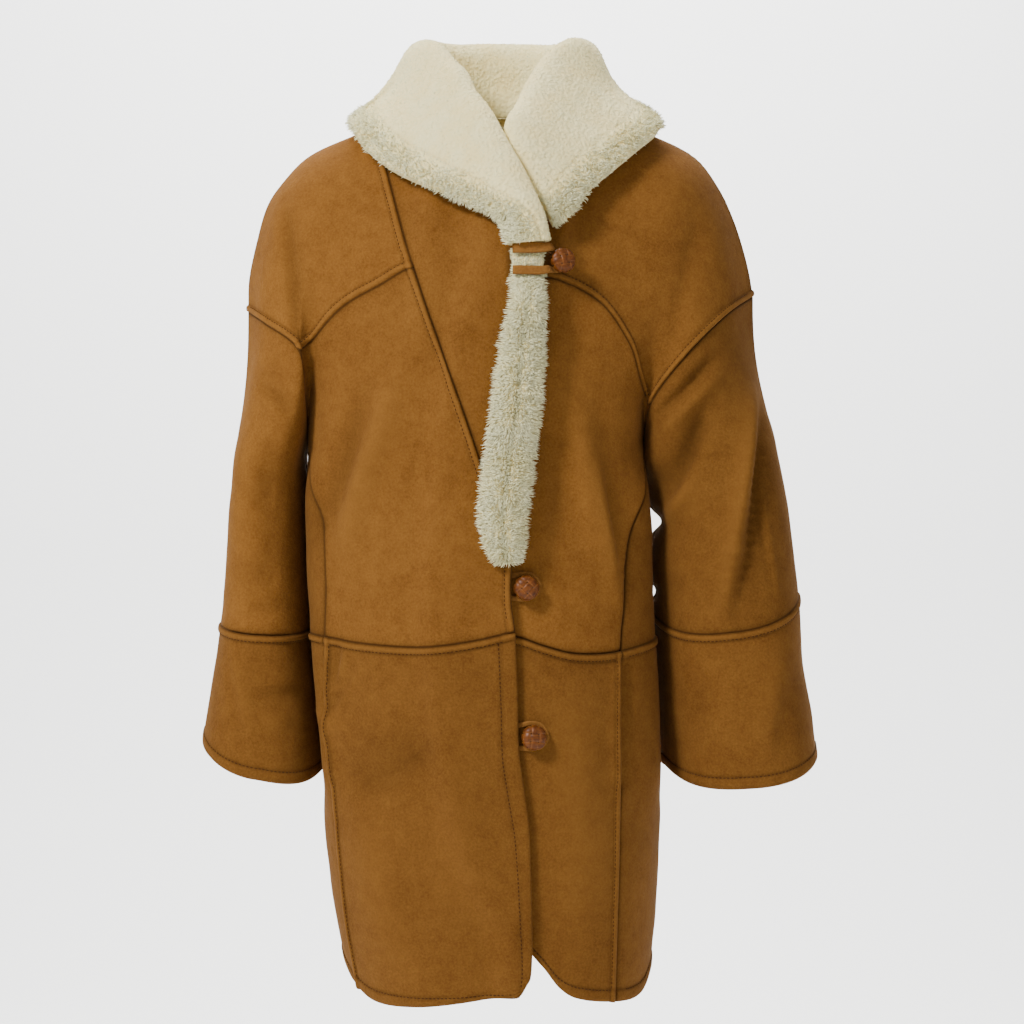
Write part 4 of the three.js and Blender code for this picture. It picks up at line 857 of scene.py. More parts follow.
def sleeve_cloth(sleeve, turn, down):
    turn, down = np.broadcast_arrays(np.asarray(turn, float), np.asarray(down, float))
    step = 0.01
    across = sleeve_point(sleeve, turn + step, down) - sleeve_point(sleeve, turn - step, down)
    along = (sleeve_point(sleeve, turn, np.minimum(down + step, 2))
             - sleeve_point(sleeve, turn, np.maximum(down - step, 0)))
    base = sleeve_point(sleeve, turn, down)
    normal = unit(np.cross(across, along))
    facing = (normal * (base - sleeve_point(sleeve, turn + 1, down))).sum(-1, keepdims=True)
    normal = np.where(facing < 0, -normal, normal)
    share = np.where(turn % 2 > 1, 2 - turn % 2, turn % 2)
    on_front = np.sin(np.pi * share) * np.where(turn % 2 > 1, 0.6, 1.0)
    fold = fold_height(sleeve.folds, base[..., 0], base[..., 2]) * on_front * ease(down / 0.15)
    return lean_sleeve(base + normal * fold[..., None], sleeve, share), normal, fold


def sleeve_panels():
    for letter, sleeve in (("R", RIGHT_SLEEVE), ("L", LEFT_SLEEVE)):
        around = stops_between("seam", 60, "seam")
        for half, start, end in (("front", 0.0, 1.0), ("back", 2.0, 1.0)):
            length = 0.5 * 380.0
            turn = mix(start, end, around.shares(np.array(length)))[None, :]
            down = stops_between("seam", 66, "seam").shares(np.array(300.0))[:, None]
            name = f"{letter}_sleeve_{half}"
            yield Panel(
                name, *sleeve_cloth(sleeve, turn, down), "seam", "seam", "seam", "seam", PANEL_TONES_AND_PAINTED_LIGHT[name])
        down = 1 + stops_between("band", 22, "hem").shares(np.array(CUFF_RUN))[:, None]
        turn = np.linspace(0, 2, 121)[None, :]
        yield Panel(
            f"{letter}_cuff", *sleeve_cloth(sleeve, turn, down), "band", "hem", "plain", "plain",
            PANEL_TONES_AND_PAINTED_LIGHT[f"{letter}_cuff"])


# Meshes
def grid_faces(rows, columns, flip=False):
    index = np.arange(rows * columns).reshape(rows, columns)
    quads = np.stack([index[:-1, :-1], index[1:, :-1], index[1:, 1:], index[:-1, 1:]], -1).reshape(-1, 4)
    return quads[:, ::-1] if flip else quads


def shell_faces(rows, columns):
    """Quads of a closed shell: outer grid, inner grid and the rims between them."""
    size = rows * columns
    index = np.arange(size).reshape(rows, columns)
    border = np.concatenate([index[0, :-1], index[:-1, -1], index[-1, :0:-1], index[:0:-1, 0]])
    ahead = np.roll(border, -1)
    rim = np.stack([border, ahead, ahead + size, border + size], -1)
    return np.concatenate([grid_faces(rows, columns, True), grid_faces(rows, columns) + size, rim[:, ::-1]])


def mesh_object(name, points, faces, materials, face_material=None, shade=None, panel_tone_and_painted_light=1.0):
    mesh = bpy.data.meshes.new(name)
    faces = faces.tolist() if isinstance(faces, np.ndarray) else faces
    mesh.from_pydata((points * METRES).tolist(), [], [tuple(face) for face in faces])
    for material in materials:
        mesh.materials.append(material)
    if face_material is not None:
        mesh.polygons.foreach_set("material_index", np.asarray(face_material, np.int32))
    mesh.polygons.foreach_set("use_smooth", np.ones(len(mesh.polygons), bool))
    # Red holds painted shade (negative: painted highlight), green the panel's tone and painted light
    if shade is not None:
        colours = np.zeros((len(points), 4))
        colours[:, 0], colours[:, 1], colours[:, 3] = np.clip(shade * 0.5 + 0.25, 0, 1), panel_tone_and_painted_light * 0.5, 1
        layer = mesh.color_attributes.new("painted_light_and_tone", "FLOAT_COLOR", "POINT")
        layer.data.foreach_set("color", colours.ravel())
    mesh.update()
    piece = bpy.data.objects.new(name, mesh)
    bpy.context.scene.collection.objects.link(piece)
    return piece


# Materials
class Nodes:
    """Adds shader nodes by short calls."""

    def __init__(self, name):
        self.material = bpy.data.materials.new(name)
        self.material.use_nodes = True
        self.tree = self.material.node_tree
        self.shader = self.tree.nodes["Principled BSDF"]
        place = self.tree.nodes.new("ShaderNodeTexCoord")
        self.place = place.outputs["Object"]

    def link(self, output, socket):
        self.tree.links.new(output, socket)

    def noise(self, size, detail=4, rough=0.6):
        node = self.tree.nodes.new("ShaderNodeTexNoise")
        node.inputs["Scale"].default_value = 1 / size
        node.inputs["Detail"].default_value = detail
        node.inputs["Roughness"].default_value = rough
        self.link(self.place, node.inputs["Vector"])
        return node.outputs["Fac"]

    def cells(self, size, feature="F1"):
        node = self.tree.nodes.new("ShaderNodeTexVoronoi")
        node.feature = feature
        node.inputs["Scale"].default_value = 1 / size
        self.link(self.place, node.inputs["Vector"])
        return node.outputs["Distance"]

    def math(self, kind, a, b):
        node = self.tree.nodes.new("ShaderNodeMath")
        node.operation = kind
        for value, socket in ((a, node.inputs[0]), (b, node.inputs[1])):
            if isinstance(value, (int, float)):
                socket.default_value = value
            else:
                self.link(value, socket)
        return node.outputs[0]

    def ramp(self, value, *stops):
        node = self.tree.nodes.new("ShaderNodeValToRGB")
        ramp = node.color_ramp
        for _ in range(len(stops) - 2):
            ramp.elements.new(0.5)
        for element, (place, colour) in zip(ramp.elements, sorted(stops)):
            element.position, element.color = place, (*colour, 1)
        self.link(value, node.inputs["Fac"])
        return node.outputs["Color"]

    def blend(self, share, a, b, kind="MIX"):
        node = self.tree.nodes.new("ShaderNodeMix")
        node.data_type, node.blend_type = "RGBA", kind
        inputs = [s for s in node.inputs if s.enabled]
        for value, socket in zip((share, a, b), inputs):
            if isinstance(value, (int, float)):
                socket.default_value = value
            elif isinstance(value, tuple):
                socket.default_value = (*value, 1)
            else:
                self.link(value, socket)
        return [s for s in node.outputs if s.enabled][0]

    def attribute(self, name):
        node = self.tree.nodes.new("ShaderNodeAttribute")
        node.attribute_name = name
        split = self.tree.nodes.new("ShaderNodeSeparateColor")
        self.link(node.outputs["Color"], split.inputs[0])
        return split.outputs

    def bump(self, *layers):
        """layers: (height, distance in metres, strength), each laid over the one before."""
        normal = None
        for height, distance, strength in layers:
            node = self.tree.nodes.new("ShaderNodeBump")
            node.inputs["Distance"].default_value = distance
            node.inputs["Strength"].default_value = strength
            self.link(height, node.inputs["Height"])
            if normal:
                self.link(normal, node.inputs["Normal"])
            normal = node.outputs["Normal"]
        self.link(normal, self.shader.inputs["Normal"])


def set_shader(nodes, **values):
    names = {"rough": "Roughness", "sheen": "Sheen Weight", "sheen_rough": "Sheen Roughness",
             "sheen_tint": "Sheen Tint", "specular": "Specular IOR Level", "coat": "Coat Weight",
             "coat_rough": "Coat Roughness"}
    for key, value in values.items():
        socket = nodes.shader.inputs[names[key]]
        socket.default_value = (*value, 1) if isinstance(value, tuple) else value


def suede_material(name="suede", base=(0.149, 0.0615, 0.0122)):
    """Napped suede: tan with soft patches and fine flecks, with painted shade in seam lines, under bands, in
    fold troughs and slits, and a painted highlight on band crests and fold ridges.
    """
    nodes = Nodes(name)
    shade, panel_tone_and_painted_light, _ = nodes.attribute("painted_light_and_tone")
    light = tuple(min(1, c * k) for c, k in zip(base, (1.34, 1.42, 1.5)))
    dark = tuple(c * k for c, k in zip(base, (0.62, 0.56, 0.5)))
    patches = nodes.ramp(nodes.noise(0.085, 3, 0.55), (0.3, dark), (0.5, base), (0.72, light))
    mottle = nodes.ramp(nodes.noise(0.014, 5, 0.62), (0.32, dark), (0.5, base), (0.70, light))
    flecks = nodes.ramp(nodes.noise(0.0022, 3, 0.7), (0.34, dark), (0.52, base), (0.7, light))
    colour = nodes.blend(0.5, patches, mottle)
    colour = nodes.blend(0.46, colour, flecks)
    # Each panel's brightness, partly its hide's tone and partly painted light, multiplies the colour
    bright = nodes.math("MULTIPLY", panel_tone_and_painted_light, 2.0)
    joined = nodes.tree.nodes.new("ShaderNodeCombineColor")
    for socket in joined.inputs[:3]:
        nodes.link(bright, socket)
    colour = nodes.blend(1.0, colour, joined.outputs[0], "MULTIPLY")
    # Painted shade darkens toward a quarter of the base where the shade channel is high; where it is
    # negative, a painted highlight lightens toward the light colour
    over = nodes.math("SUBTRACT", shade, 0.25)
    deep = nodes.math("MAXIMUM", nodes.math("MULTIPLY", over, 1.5), 0.0)
    lightening = nodes.math("MAXIMUM", nodes.math("MULTIPLY", over, -2.2), 0.0)
    colour = nodes.blend(nodes.math("MINIMUM", deep, 0.85), colour, tuple(c * 0.25 for c in base))
    colour = nodes.blend(nodes.math("MINIMUM", lightening, 0.5), colour, light)
    nodes.link(colour, nodes.shader.inputs["Base Color"])
    nodes.bump(
        (nodes.noise(0.02, 3, 0.5), 0.0016, 0.5),
        (nodes.noise(0.0045, 4, 0.7), 0.0009, 0.65),
        (nodes.noise(0.0014, 2, 0.6), 0.0004, 0.8),
    )
    set_shader(nodes, rough=0.95, sheen=0.07, sheen_rough=0.5, sheen_tint=(0.8, 0.45, 0.18),
               specular=0.05)
    return nodes.material


def fleece_material(name, deep, crest, curl=0.004):
    """Clipped wool: cream curls with painted shade in the hollows between them."""
    nodes = Nodes(name)
    curls = nodes.cells(curl, "SMOOTH_F1")
    fine = nodes.noise(curl * 0.35, 4, 0.7)
    height = nodes.math("SUBTRACT", nodes.math("MULTIPLY", fine, 0.5), curls)
    colour = nodes.ramp(height, (-0.0, deep), (0.42, crest))
    patches = nodes.ramp(nodes.noise(0.03, 3), (0.35, deep), (0.6, crest))
    colour = nodes.blend(0.35, colour, patches)
    # Painted shade from the shade channel: at the locks' roots, in the strip's parting and on its flanks, in
    # gaps between clumps and along seams and stitch lines
    over = nodes.math("SUBTRACT", nodes.attribute("painted_light_and_tone")[0], 0.25)
    hollow = nodes.math("MINIMUM", nodes.math("MAXIMUM", nodes.math("MULTIPLY", over, 1.8), 0.0), 0.55)
    colour = nodes.blend(hollow, colour, tuple(c * k for c, k in zip(deep, (0.42, 0.36, 0.28))))
    nodes.link(colour, nodes.shader.inputs["Base Color"])
    nodes.bump((height, curl * 0.8, 0.85), (nodes.noise(curl * 0.2, 3, 0.7), curl * 0.15, 0.6))
    set_shader(nodes, rough=0.95, sheen=0.25, sheen_rough=0.5, sheen_tint=(1, 0.93, 0.74), specular=0.05)
    return nodes.material


def leather_material():
    """Glossy red-brown leather strips, with painted shade where they dive under and on the core, lighter on
    their edges.
    """
    nodes = Nodes("knot_leather")
    shade = nodes.attribute("painted_light_and_tone")[0]
    body = nodes.ramp(nodes.noise(0.004, 4, 0.6), (0.3, (0.060, 0.015, 0.002)), (0.7, (0.165, 0.046, 0.005)))
    # Painted shade: near black where the shade channel is high, under the crossings and on the core; where it
    # is negative the strips lighten toward tan
    over = nodes.math("SUBTRACT", shade, 0.25)
    deep = nodes.math("MINIMUM", nodes.math("MAXIMUM", nodes.math("MULTIPLY", over, 2.6), 0.0), 0.9)
    lightening = nodes.math("MINIMUM", nodes.math("MAXIMUM", nodes.math("MULTIPLY", over, -2.5), 0.0), 0.5)
    colour = nodes.blend(deep, body, (0.012, 0.005, 0.003))
    colour = nodes.blend(lightening, colour, (0.26, 0.105, 0.022))
    nodes.link(colour, nodes.shader.inputs["Base Color"])
    gloss = nodes.math("ADD", nodes.math("MULTIPLY", nodes.noise(0.003, 3), 0.25), 0.28)
    nodes.link(gloss, nodes.shader.inputs["Roughness"])
    nodes.bump((nodes.noise(0.0016, 3, 0.6), 0.0003, 0.4), (nodes.cells(0.0009), 0.0001, 0.35))
    set_shader(nodes, specular=0.2, sheen=0.0, coat=0.0)
    return nodes.material


SUEDE = suede_material()
LINING = fleece_material("clipped_fleece", (0.60, 0.52, 0.36), (0.86, 0.80, 0.64))
FLEECE = fleece_material("fleece", (0.98, 0.80, 0.36), (1.0, 0.97, 0.56), 0.0034)
LOCKS = fleece_material("wool_locks", (1.0, 0.94, 0.54), (1.0, 1.0, 0.72), 0.0012)
THREAD = suede_material("thread", (0.045, 0.019, 0.006))
LOOP = suede_material("loop_suede", (0.185, 0.078, 0.018))
LEATHER = leather_material()


def build_panel(panel):
    """A thin closed shell: suede outside and on the rims, clipped fleece inside."""
    rows, columns = panel.points.shape[:2]
    inner = panel.points - panel.normals * WALL
    points = np.concatenate([panel.points.reshape(-1, 3), inner.reshape(-1, 3)])
    faces = shell_faces(rows, columns)
    quads = (rows - 1) * (columns - 1)
    kinds = np.zeros(len(faces), int)
    kinds[quads:2 * quads] = 1
    if panel.name in ("R_front_center", "L_front_yoke", "back_yoke"):
        # The neck's rim, and the fronts where they show below the collar's V, are fleece
        kinds[2 * quads:2 * quads + columns - 1] = 1
        middle = (panel.points[:-1, :-1] + panel.points[1:, 1:]) / 2
        across, depth, up = np.moveaxis(middle, -1, 0)
        under_v = (abs(across - V_MIDDLE) < V_HALF) & (up > V_FOOT) & (depth < 0)
        kinds[:quads][under_v.ravel()] = 1
    shade = np.concatenate([panel.shade.ravel(), panel.shade.ravel()])
    piece = mesh_object(panel.name + "_suede", points, faces, [SUEDE, LINING], kinds, shade, panel.panel_tone_and_painted_light)
    dress(piece, panel.name)
    width, length, area = panel.flat[0] * METRES, panel.flat[1] * METRES, panel.area * METRES ** 2
    area = min(max(area, 0.3 * width * length), width * length)
    [p for p in [panel_stitches(panel)] if p]
    return piece


def dress(piece, node):
    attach(piece, "root")
    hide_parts(node)


# Places on a sheet, found by x and z
class Locator:
    def __init__(self, layer):
        self.layer = layer
        s, t = np.meshgrid(np.linspace(0, 1, 161), np.linspace(0, 2, 241), indexing="ij")
        self.places = np.stack([s.ravel(), t.ravel()], -1)
        at = layer.point(s, t).reshape(-1, 3)
        self.tree = KDTree(len(at))
        for i, (x, _, z) in enumerate(at.tolist()):
            self.tree.insert((x, z, 0), i)
        self.tree.balance()

    def __call__(self, x, z):
        x, z = np.broadcast_arrays(np.asarray(x, float), np.asarray(z, float))
        near = [self.tree.find((a, b, 0))[1] for a, b in zip(x.ravel(), z.ravel())]
        s, t = self.places[near].reshape(x.shape + (2,)).transpose(-1, *range(x.ndim))
        step = 1e-4
        for _ in range(5):
            at = self.layer.point(s, t)[..., ::2]
            by_s = (self.layer.point(s + step, t)[..., ::2] - at) / step
            by_t = (self.layer.point(s, t + step)[..., ::2] - at) / step
            miss_x, miss_z = x - at[..., 0], z - at[..., 1]
            size = by_s[..., 0] * by_t[..., 1] - by_s[..., 1] * by_t[..., 0]
            size = np.where(np.abs(size) < 1, 1, size)
            s = s + np.clip((miss_x * by_t[..., 1] - miss_z * by_t[..., 0]) / size, -0.01, 0.01)
            t = t + np.clip((miss_z * by_s[..., 0] - miss_x * by_s[..., 1]) / size, -0.01, 0.01)
            s, t = np.clip(s, 0, 1 - step), np.clip(t, 0, 2 - step)
        return s, t


LOCATORS = {layer: Locator(layer) for layer in (RIGHT_FRONT, LEFT_FRONT, BACK_SHEET)}


def over_sheet(layer, x, z, height):
    """Points at a height over a sheet, with its normals."""
    points, normals, _ = cloth(layer, *LOCATORS[layer](x, z))
    return points + normals * np.asarray(height)[..., None], normals


def spaced(points, count):
    """A smooth line through points, divided into even steps."""
    gaps = np.sqrt(np.linalg.norm(np.diff(points, axis=0), axis=1))
    keys = np.concatenate([[0], np.cumsum(gaps)])
    line = Curve(*np.column_stack([keys, points]))(np.linspace(0, keys[-1], 400))
    run = np.concatenate([[0], np.cumsum(np.linalg.norm(np.diff(line, axis=0), axis=1))])
    even = np.linspace(0, run[-1], count)
    return np.stack([np.interp(even, run, line[:, i]) for i in range(3)], -1)


def grid_normals(points):
    down, over = np.gradient(points, axis=0), np.gradient(points, axis=1)
    return unit(np.cross(down, over))


# The collar from its right tip round the neck to its left one: the roll at the neck, the outer edge's
# x and z with its height over the coat, the neckline, the roll's radius, the thickness, 1 = behind
COLLAR = np.array([
    (45, -150, -111, 7, -119, 9, 30, -141, -113, 5, 10, 0),
    (36, -147, -83, -3, -95, 9, 22, -138, -97, 7, 14, 0),
    (18, -136, -46, -38, -73, 9, 0, -127, -78, 9, 16, 0),
    (-2, -114, -8, -76, -55, 9, -36, -104, -46, 9, 16, 0),
    (-22, -84, 32, -110, -37, 9, -62, -72, -16, 9, 16, 0),
    (-38, -55, 64, -135, -17, 9, -68, -42, 24, 9, 14, 0),
    (-53, -28, 86, -151, 3, 10, -74, -18, 38, 8, 14, 0),
    (-68, 2, 106, -159, 20, 12, -79, 6, 52, 10, 14, 0),
    (-77, 38, 113, -150, 36, 16, -76, 34, 48, 11, 13, 1),
    (-60, 76, 117, -112, 36, 18, -54, 58, 44, 12, 12, 1),
    (-30, 95, 119, -60, 24, 18, -28, 71, 41, 12, 12, 1),
    (1, 100, 120, 1, 18, 18, 1, 75, 40, 12, 12, 1),
    (32, 95, 119, 62, 24, 18, 30, 71, 41, 12, 12, 1),
    (62, 76, 117, 116, 36, 18, 56, 58, 44, 12, 12, 1),
    (80, 38, 115, 156, 36, 16, 77, 34, 48, 11, 13, 1),
    (72, 4, 110, 168, 22, 12, 80, 6, 52, 10, 14, 0),
    (54, -14, 97, 158, 3, 12, 76, -16, 40, 8, 14, 0),
    (39, -34, 74, 138, -15, 12, 70, -40, 24, 9, 14, 0),
    (24, -64, 42, 113, -37, 13, 60, -70, 0, 9, 14, 0),
    (10, -94, 12, 87, -60, 13, 46, -100, -36, 8, 13, 0),
    (14, -108, -26, 66, -82, 11, 40, -116, -60, 6, 11, 0),
    (28, -122, -60, 54, -98, 9, 36, -126, -84, 4, 8, 0),
], float)
# How far each section's fall stands out past a straight line; the sides sag toward the neck
SAGS = (3, 3, 2, 1, -2, -6, -9, -9, -4, 2, 3, 3, 3, 2, -4, -9, -8, -4, -1, 1, 3, 3)
COLLAR_LINES, COLLAR_STEPS = 520, 70


def collar_lines():
    """Centre lines of the collar from the neckline over the roll to the outer edge."""
    rolls = COLLAR[:, 0:3]
    middle = (len(COLLAR) - 1) / 2
    lines = []
    for i, row in enumerate(COLLAR):
        roll, base, radius = row[0:3], row[6:9], row[9]
        layer = BACK_SHEET if row[11] else (RIGHT_FRONT if i < middle else LEFT_FRONT)
        edge = over_sheet(layer, row[3], row[4], row[5])[0]
        run = rolls[min(i + 1, len(rolls) - 1)] - rolls[max(i - 1, 0)]
        fall, stand = unit(edge - roll), unit(base - roll)
        out = unit(np.cross(run, fall))
        out = -out if out @ stand > 0 else out
        top = roll - unit(fall + stand) * radius * 0.35
        inner = roll - out * radius + stand * radius
        outer = roll + out * radius + fall * radius
        belly = mix(outer, edge, 0.5) + out * SAGS[i]
        start = mix(base, inner, 0.06)
        lines.append(spaced(np.array([start, mix(start, inner, 0.5), inner, top, outer, belly, edge]),
                            COLLAR_STEPS + 1))
    return np.array(lines)


def shell_object(name, outer, inner, materials, shade):
    """A closed shell from two grids of points."""
    rows, columns = outer.shape[:2]
    faces = shell_faces(rows, columns)
    points = np.concatenate([outer.reshape(-1, 3), inner.reshape(-1, 3)])
    both = np.concatenate([shade.ravel(), shade.ravel()])
    return mesh_object(name, points, faces, materials, None, both)


def wool_relief(points, length):
    """Clumps of wool: rounded lumps with gaps between them."""
    big = noise(points, 7.5, 11) + 0.6 * noise(points, 4.2, 12)
    small = noise(points, 2.6, 13)
    return length * (0.55 * big - 0.6 * np.abs(small) ** 0.7)


def wool_tips(name, points, normals, weight, length, comb, count, seed, width=0.45):
    """Short tapered locks standing on a grid of points, leaning along comb."""
    rng = np.random.default_rng(seed)
    rows, columns = points.shape[:2]
    i, j = rng.uniform(0, rows - 1.001, count * 3), rng.uniform(0, columns - 1.001, count * 3)
    keep = rng.random(count * 3) < weight[i.astype(int), j.astype(int)]
    i, j = i[keep][:count], j[keep][:count]

    def at(grid):
        a, b = i.astype(int), j.astype(int)
        f, g = (i - a)[:, None], (j - b)[:, None]
        low, high = mix(grid[a, b], grid[a, b + 1], g), mix(grid[a + 1, b], grid[a + 1, b + 1], g)
        return mix(low, high, f)

    root, normal, lean = at(points), unit(at(normals)), at(comb)
    reach = at(length[..., None])[:, 0] * rng.uniform(0.6, 1.15, len(i))
    drift = np.stack([noise(root, 6.0, seed + k) for k in range(3)], -1)
    loose = rng.normal(0, 0.22, root.shape)
    first = unit(normal + 0.4 * lean + 0.5 * drift + loose)
    second = unit(0.45 * normal + lean + 0.7 * drift + loose)
    side = unit(np.cross(first, rng.normal(0, 1, root.shape)))
    other = np.cross(first, side)
    start = root - first * 0.6
    middle = root + first * reach[:, None] * 0.5
    tip = middle + second * reach[:, None] * 0.5
    rings = []
    for centre, radius in ((start, width), (middle, width * 0.8)):
        for turn in (0, 2 * math.pi / 3, 4 * math.pi / 3):
            rings.append(centre + radius * (side * math.cos(turn) + other * math.sin(turn)))
    vertices = np.stack([*rings, tip], 1).reshape(-1, 3)
    first_index = np.arange(len(root))[:, None] * 7
    corners = [(0, 1, 4), (0, 4, 3), (1, 2, 5), (1, 5, 4), (2, 0, 3), (2, 3, 5),
               (3, 4, 6), (4, 5, 6), (5, 3, 6)]
    faces = np.concatenate([first_index + np.array(c) for c in corners])
    # Painted shade at the locks' roots, fading up the middle
    painted_light_and_tone = np.tile(np.array([0.55, 0.55, 0.55, 0.12, 0.12, 0.12, -0.3]), len(root))
    return mesh_object(name, vertices, faces, [LOCKS], None, painted_light_and_tone)


def build_collar():
    lines = collar_lines()
    centre = Curve(*[(i, *line.ravel()) for i, line in enumerate(lines)])
    centre = centre(np.linspace(0, len(lines) - 1, COLLAR_LINES + 1)).reshape(COLLAR_LINES + 1, -1, 3)
    normals = grid_normals(centre)
    share = np.linspace(0, 1, COLLAR_STEPS + 1)[None, :]
    thick = np.interp(np.linspace(0, len(lines) - 1, COLLAR_LINES + 1), np.arange(len(lines)), COLLAR[:, 10])
    edge_away = path_lengths(centre, 1)[:, -1:] - path_lengths(centre, 1)
    round_off = np.sqrt(np.clip(edge_away / 7, 0, 1) * (2 - np.clip(edge_away / 7, 0, 1)))
    swell = np.clip(0.25 + 1.4 * share, 0.5, 1) * mix(0.35, 1, round_off)
    half = thick[:, None] * swell / 2
    rim = 1 - ease((edge_away - RIM_EDGE) / RIM_RAMP)
    stitch = np.exp(-(((edge_away - COLLAR_STITCH) / 1.3) ** 2))
    relief = wool_relief(centre, mix(0.4, 2.3, rim)) - 1.2 * stitch + 0.8 * noise(centre, 45, 15) + 1.5 * rim
    outer = centre + normals * (half + relief)[..., None]
    inner = centre - normals * half[..., None]
    # Painted shade along the stitch line and in the gaps between the rim's clumps of wool
    shade = 0.25 * stitch + 0.3 * rim * np.clip(-noise(centre, 4.2, 12), 0, 1)
    piece = shell_object("collar_fleece", outer, inner, [FLEECE], shade)
    dress(piece, "collar")
    skin = grid_normals(outer)
    down = unit(np.gradient(centre, axis=1))
    weight = np.clip(mix(0.16, 1.0, rim) * ease((share - 0.12) / 0.1), 0, 1)
    comb = down * mix(0.25, 0.4, rim)[..., None]
    tips = wool_tips("collar_wool", outer, skin, weight, mix(1.4, 6.2, rim), comb, COLLAR_LOCKS, 21, 0.55)
    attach(tips, "root")
    flat, area = cut_size(centre)
    max(area, 0.3 * flat[0] * flat[1]) * METRES ** 2


# The fleece strip on the right front's edge: z, left, right, thickness
STRIP = Curve(
    (-121.5, 9, 41, 7), (-136, 10, 41, 7), (-151, 10, 42, 8), (-170, 8, 43, 15), (-211, -1, 42, 17),
    (-272, -11, 38, 17), (-322, -18, 31, 17), (-372, -23, 26, 17), (-412, -21, 22, 16),
    (-430, -11, 19, 12), (-438, -2, 14, 7),
)
STRIP_TOP, STRIP_END, STRIP_INSET = -121.5, -435, 2.2


def build_strip():
    rows, columns = 200, 44
    z = np.linspace(STRIP_TOP, STRIP_END, rows)[:, None]
    share = np.linspace(0, 1, columns)[None, :]
    left, right, thick = np.moveaxis(STRIP(z[:, 0]), -1, 0)[:, :, None]
    left, right = left + STRIP_INSET * (thick > 10), right - STRIP_INSET * (thick > 10)
    ends = ease((z - z.min()) / 10) ** 0.5
    x = mix(left, right, share) + 1.6 * noise(np.stack(np.broadcast_arrays(share * 0, z, z), -1), 9, 31)
    under, normals = over_sheet(RIGHT_FRONT, x, z, BAND_RAISE + 0.6)
    bulge = np.sqrt(np.clip(1 - (2 * share - 1) ** 2, 0, 1)) ** 0.8
    parting = np.exp(-(((share - 0.5) * (right - left) / 2.4) ** 2))
    clumps = noise(np.stack(np.broadcast_arrays(share * 14, z, z * 0), -1), 7.0, 33)
    height = thick * (0.3 + 0.6 * bulge) - 3.6 * parting * (thick > 10) + wool_relief(under, 1.6) * bulge
    height = height + 1.5 * clumps * bulge
    outer = under + normals * np.maximum(height * mix(0.5, 1, ends), 1.5)[..., None]
    # Painted shade in the parting, on the strip's flanks and in the gaps between clumps
    shade = 0.45 * parting + 0.35 * (1 - bulge) + 0.25 * np.clip(-noise(under, 4.2, 12), 0, 1)
    piece = shell_object("strip_fleece", outer, under, [FLEECE], shade)
    dress(piece, "fur_front_strip")
    skin = grid_normals(outer)
    apart = (2 * share - 1)[..., None] * unit(np.gradient(under, axis=1))
    fan = 0.9 * noise(np.stack(np.broadcast_arrays(share * 0 + 5, z, z * 0), -1), 11.0, 34)[..., None]
    comb = 1.6 * apart + (0.35 + fan) * unit(np.gradient(under, axis=0))
    near_loops = np.exp(-(((z + 134) / 16) ** 2))
    length = np.broadcast_to(mix(7.0, 2.2, near_loops), (rows, columns)).copy()
    tips = wool_tips("strip_wool", outer, skin, np.ones((rows, columns)), length, comb, STRIP_LOCKS, 41, 0.5)
    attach(tips, "root")
    flat, area = cut_size(under)


# Loops: x, z, height over the sheet, width, 1 = over the right front
TOP_LOOP = np.array([
    (11, -123.5, 12.6, 9, 1), (24, -123, 12.8, 11.5, 1), (36, -123.5, 12.6, 11, 1),
    (44, -124.5, 11.5, 9, 1), (50, -125, 9, 7, 0), (56, -125.5, 7, 4, 0), (62, -127, 6.6, 4, 0),
    (65, -133, 6.6, 4, 0), (62, -138, 6.6, 4, 0), (56, -140.5, 7, 4, 0),
    (50, -141, 9, 6, 0), (44, -143, 11.5, 8, 1),
    (36, -144, 12.6, 9, 1), (24, -144, 12.8, 9, 1), (11, -144, 12.6, 9, 1),
], float)
LOW_LOOP = np.array([
    (-30, 9, 0.8, 5, 0), (-14, 11, 0.8, 5, 0), (-2, 13, 0.8, 5, 0), (7, 11.5, 0.8, 5, 0),
    (13, 5, 0.8, 5, 0), (14, -2, 0.8, 5, 0), (10, -9, 0.8, 5, 0), (2, -12, 0.8, 5, 0),
    (-6, -12, 0.8, 5, 0), (-14, -11, 0.8, 5, 0), (-30, -9, 0.8, 5, 0),
], float)
# Buttons: x, z, shank, distance of the shank's foot from the left front
BUTTONS = ((57, -132, 12.7, -0.45), (24, -460, 4.5, 0.3), (31.5, -610, 4.5, 0.3))
LOOP_THICKNESS = 2.6


def ring_faces(rings, sides, capped=True):
    """Faces of a tube of rings."""
    index = np.arange(rings * sides).reshape(rings, sides)
    ahead = np.roll(index, -1, axis=1)
    quads = np.stack([index[:-1], ahead[:-1], ahead[1:], index[1:]], -1).reshape(-1, 4)
    faces = [tuple(f) for f in quads.tolist()]
    if capped:
        faces += [tuple(index[0, ::-1].tolist()), tuple(index[-1].tolist())]
    return faces


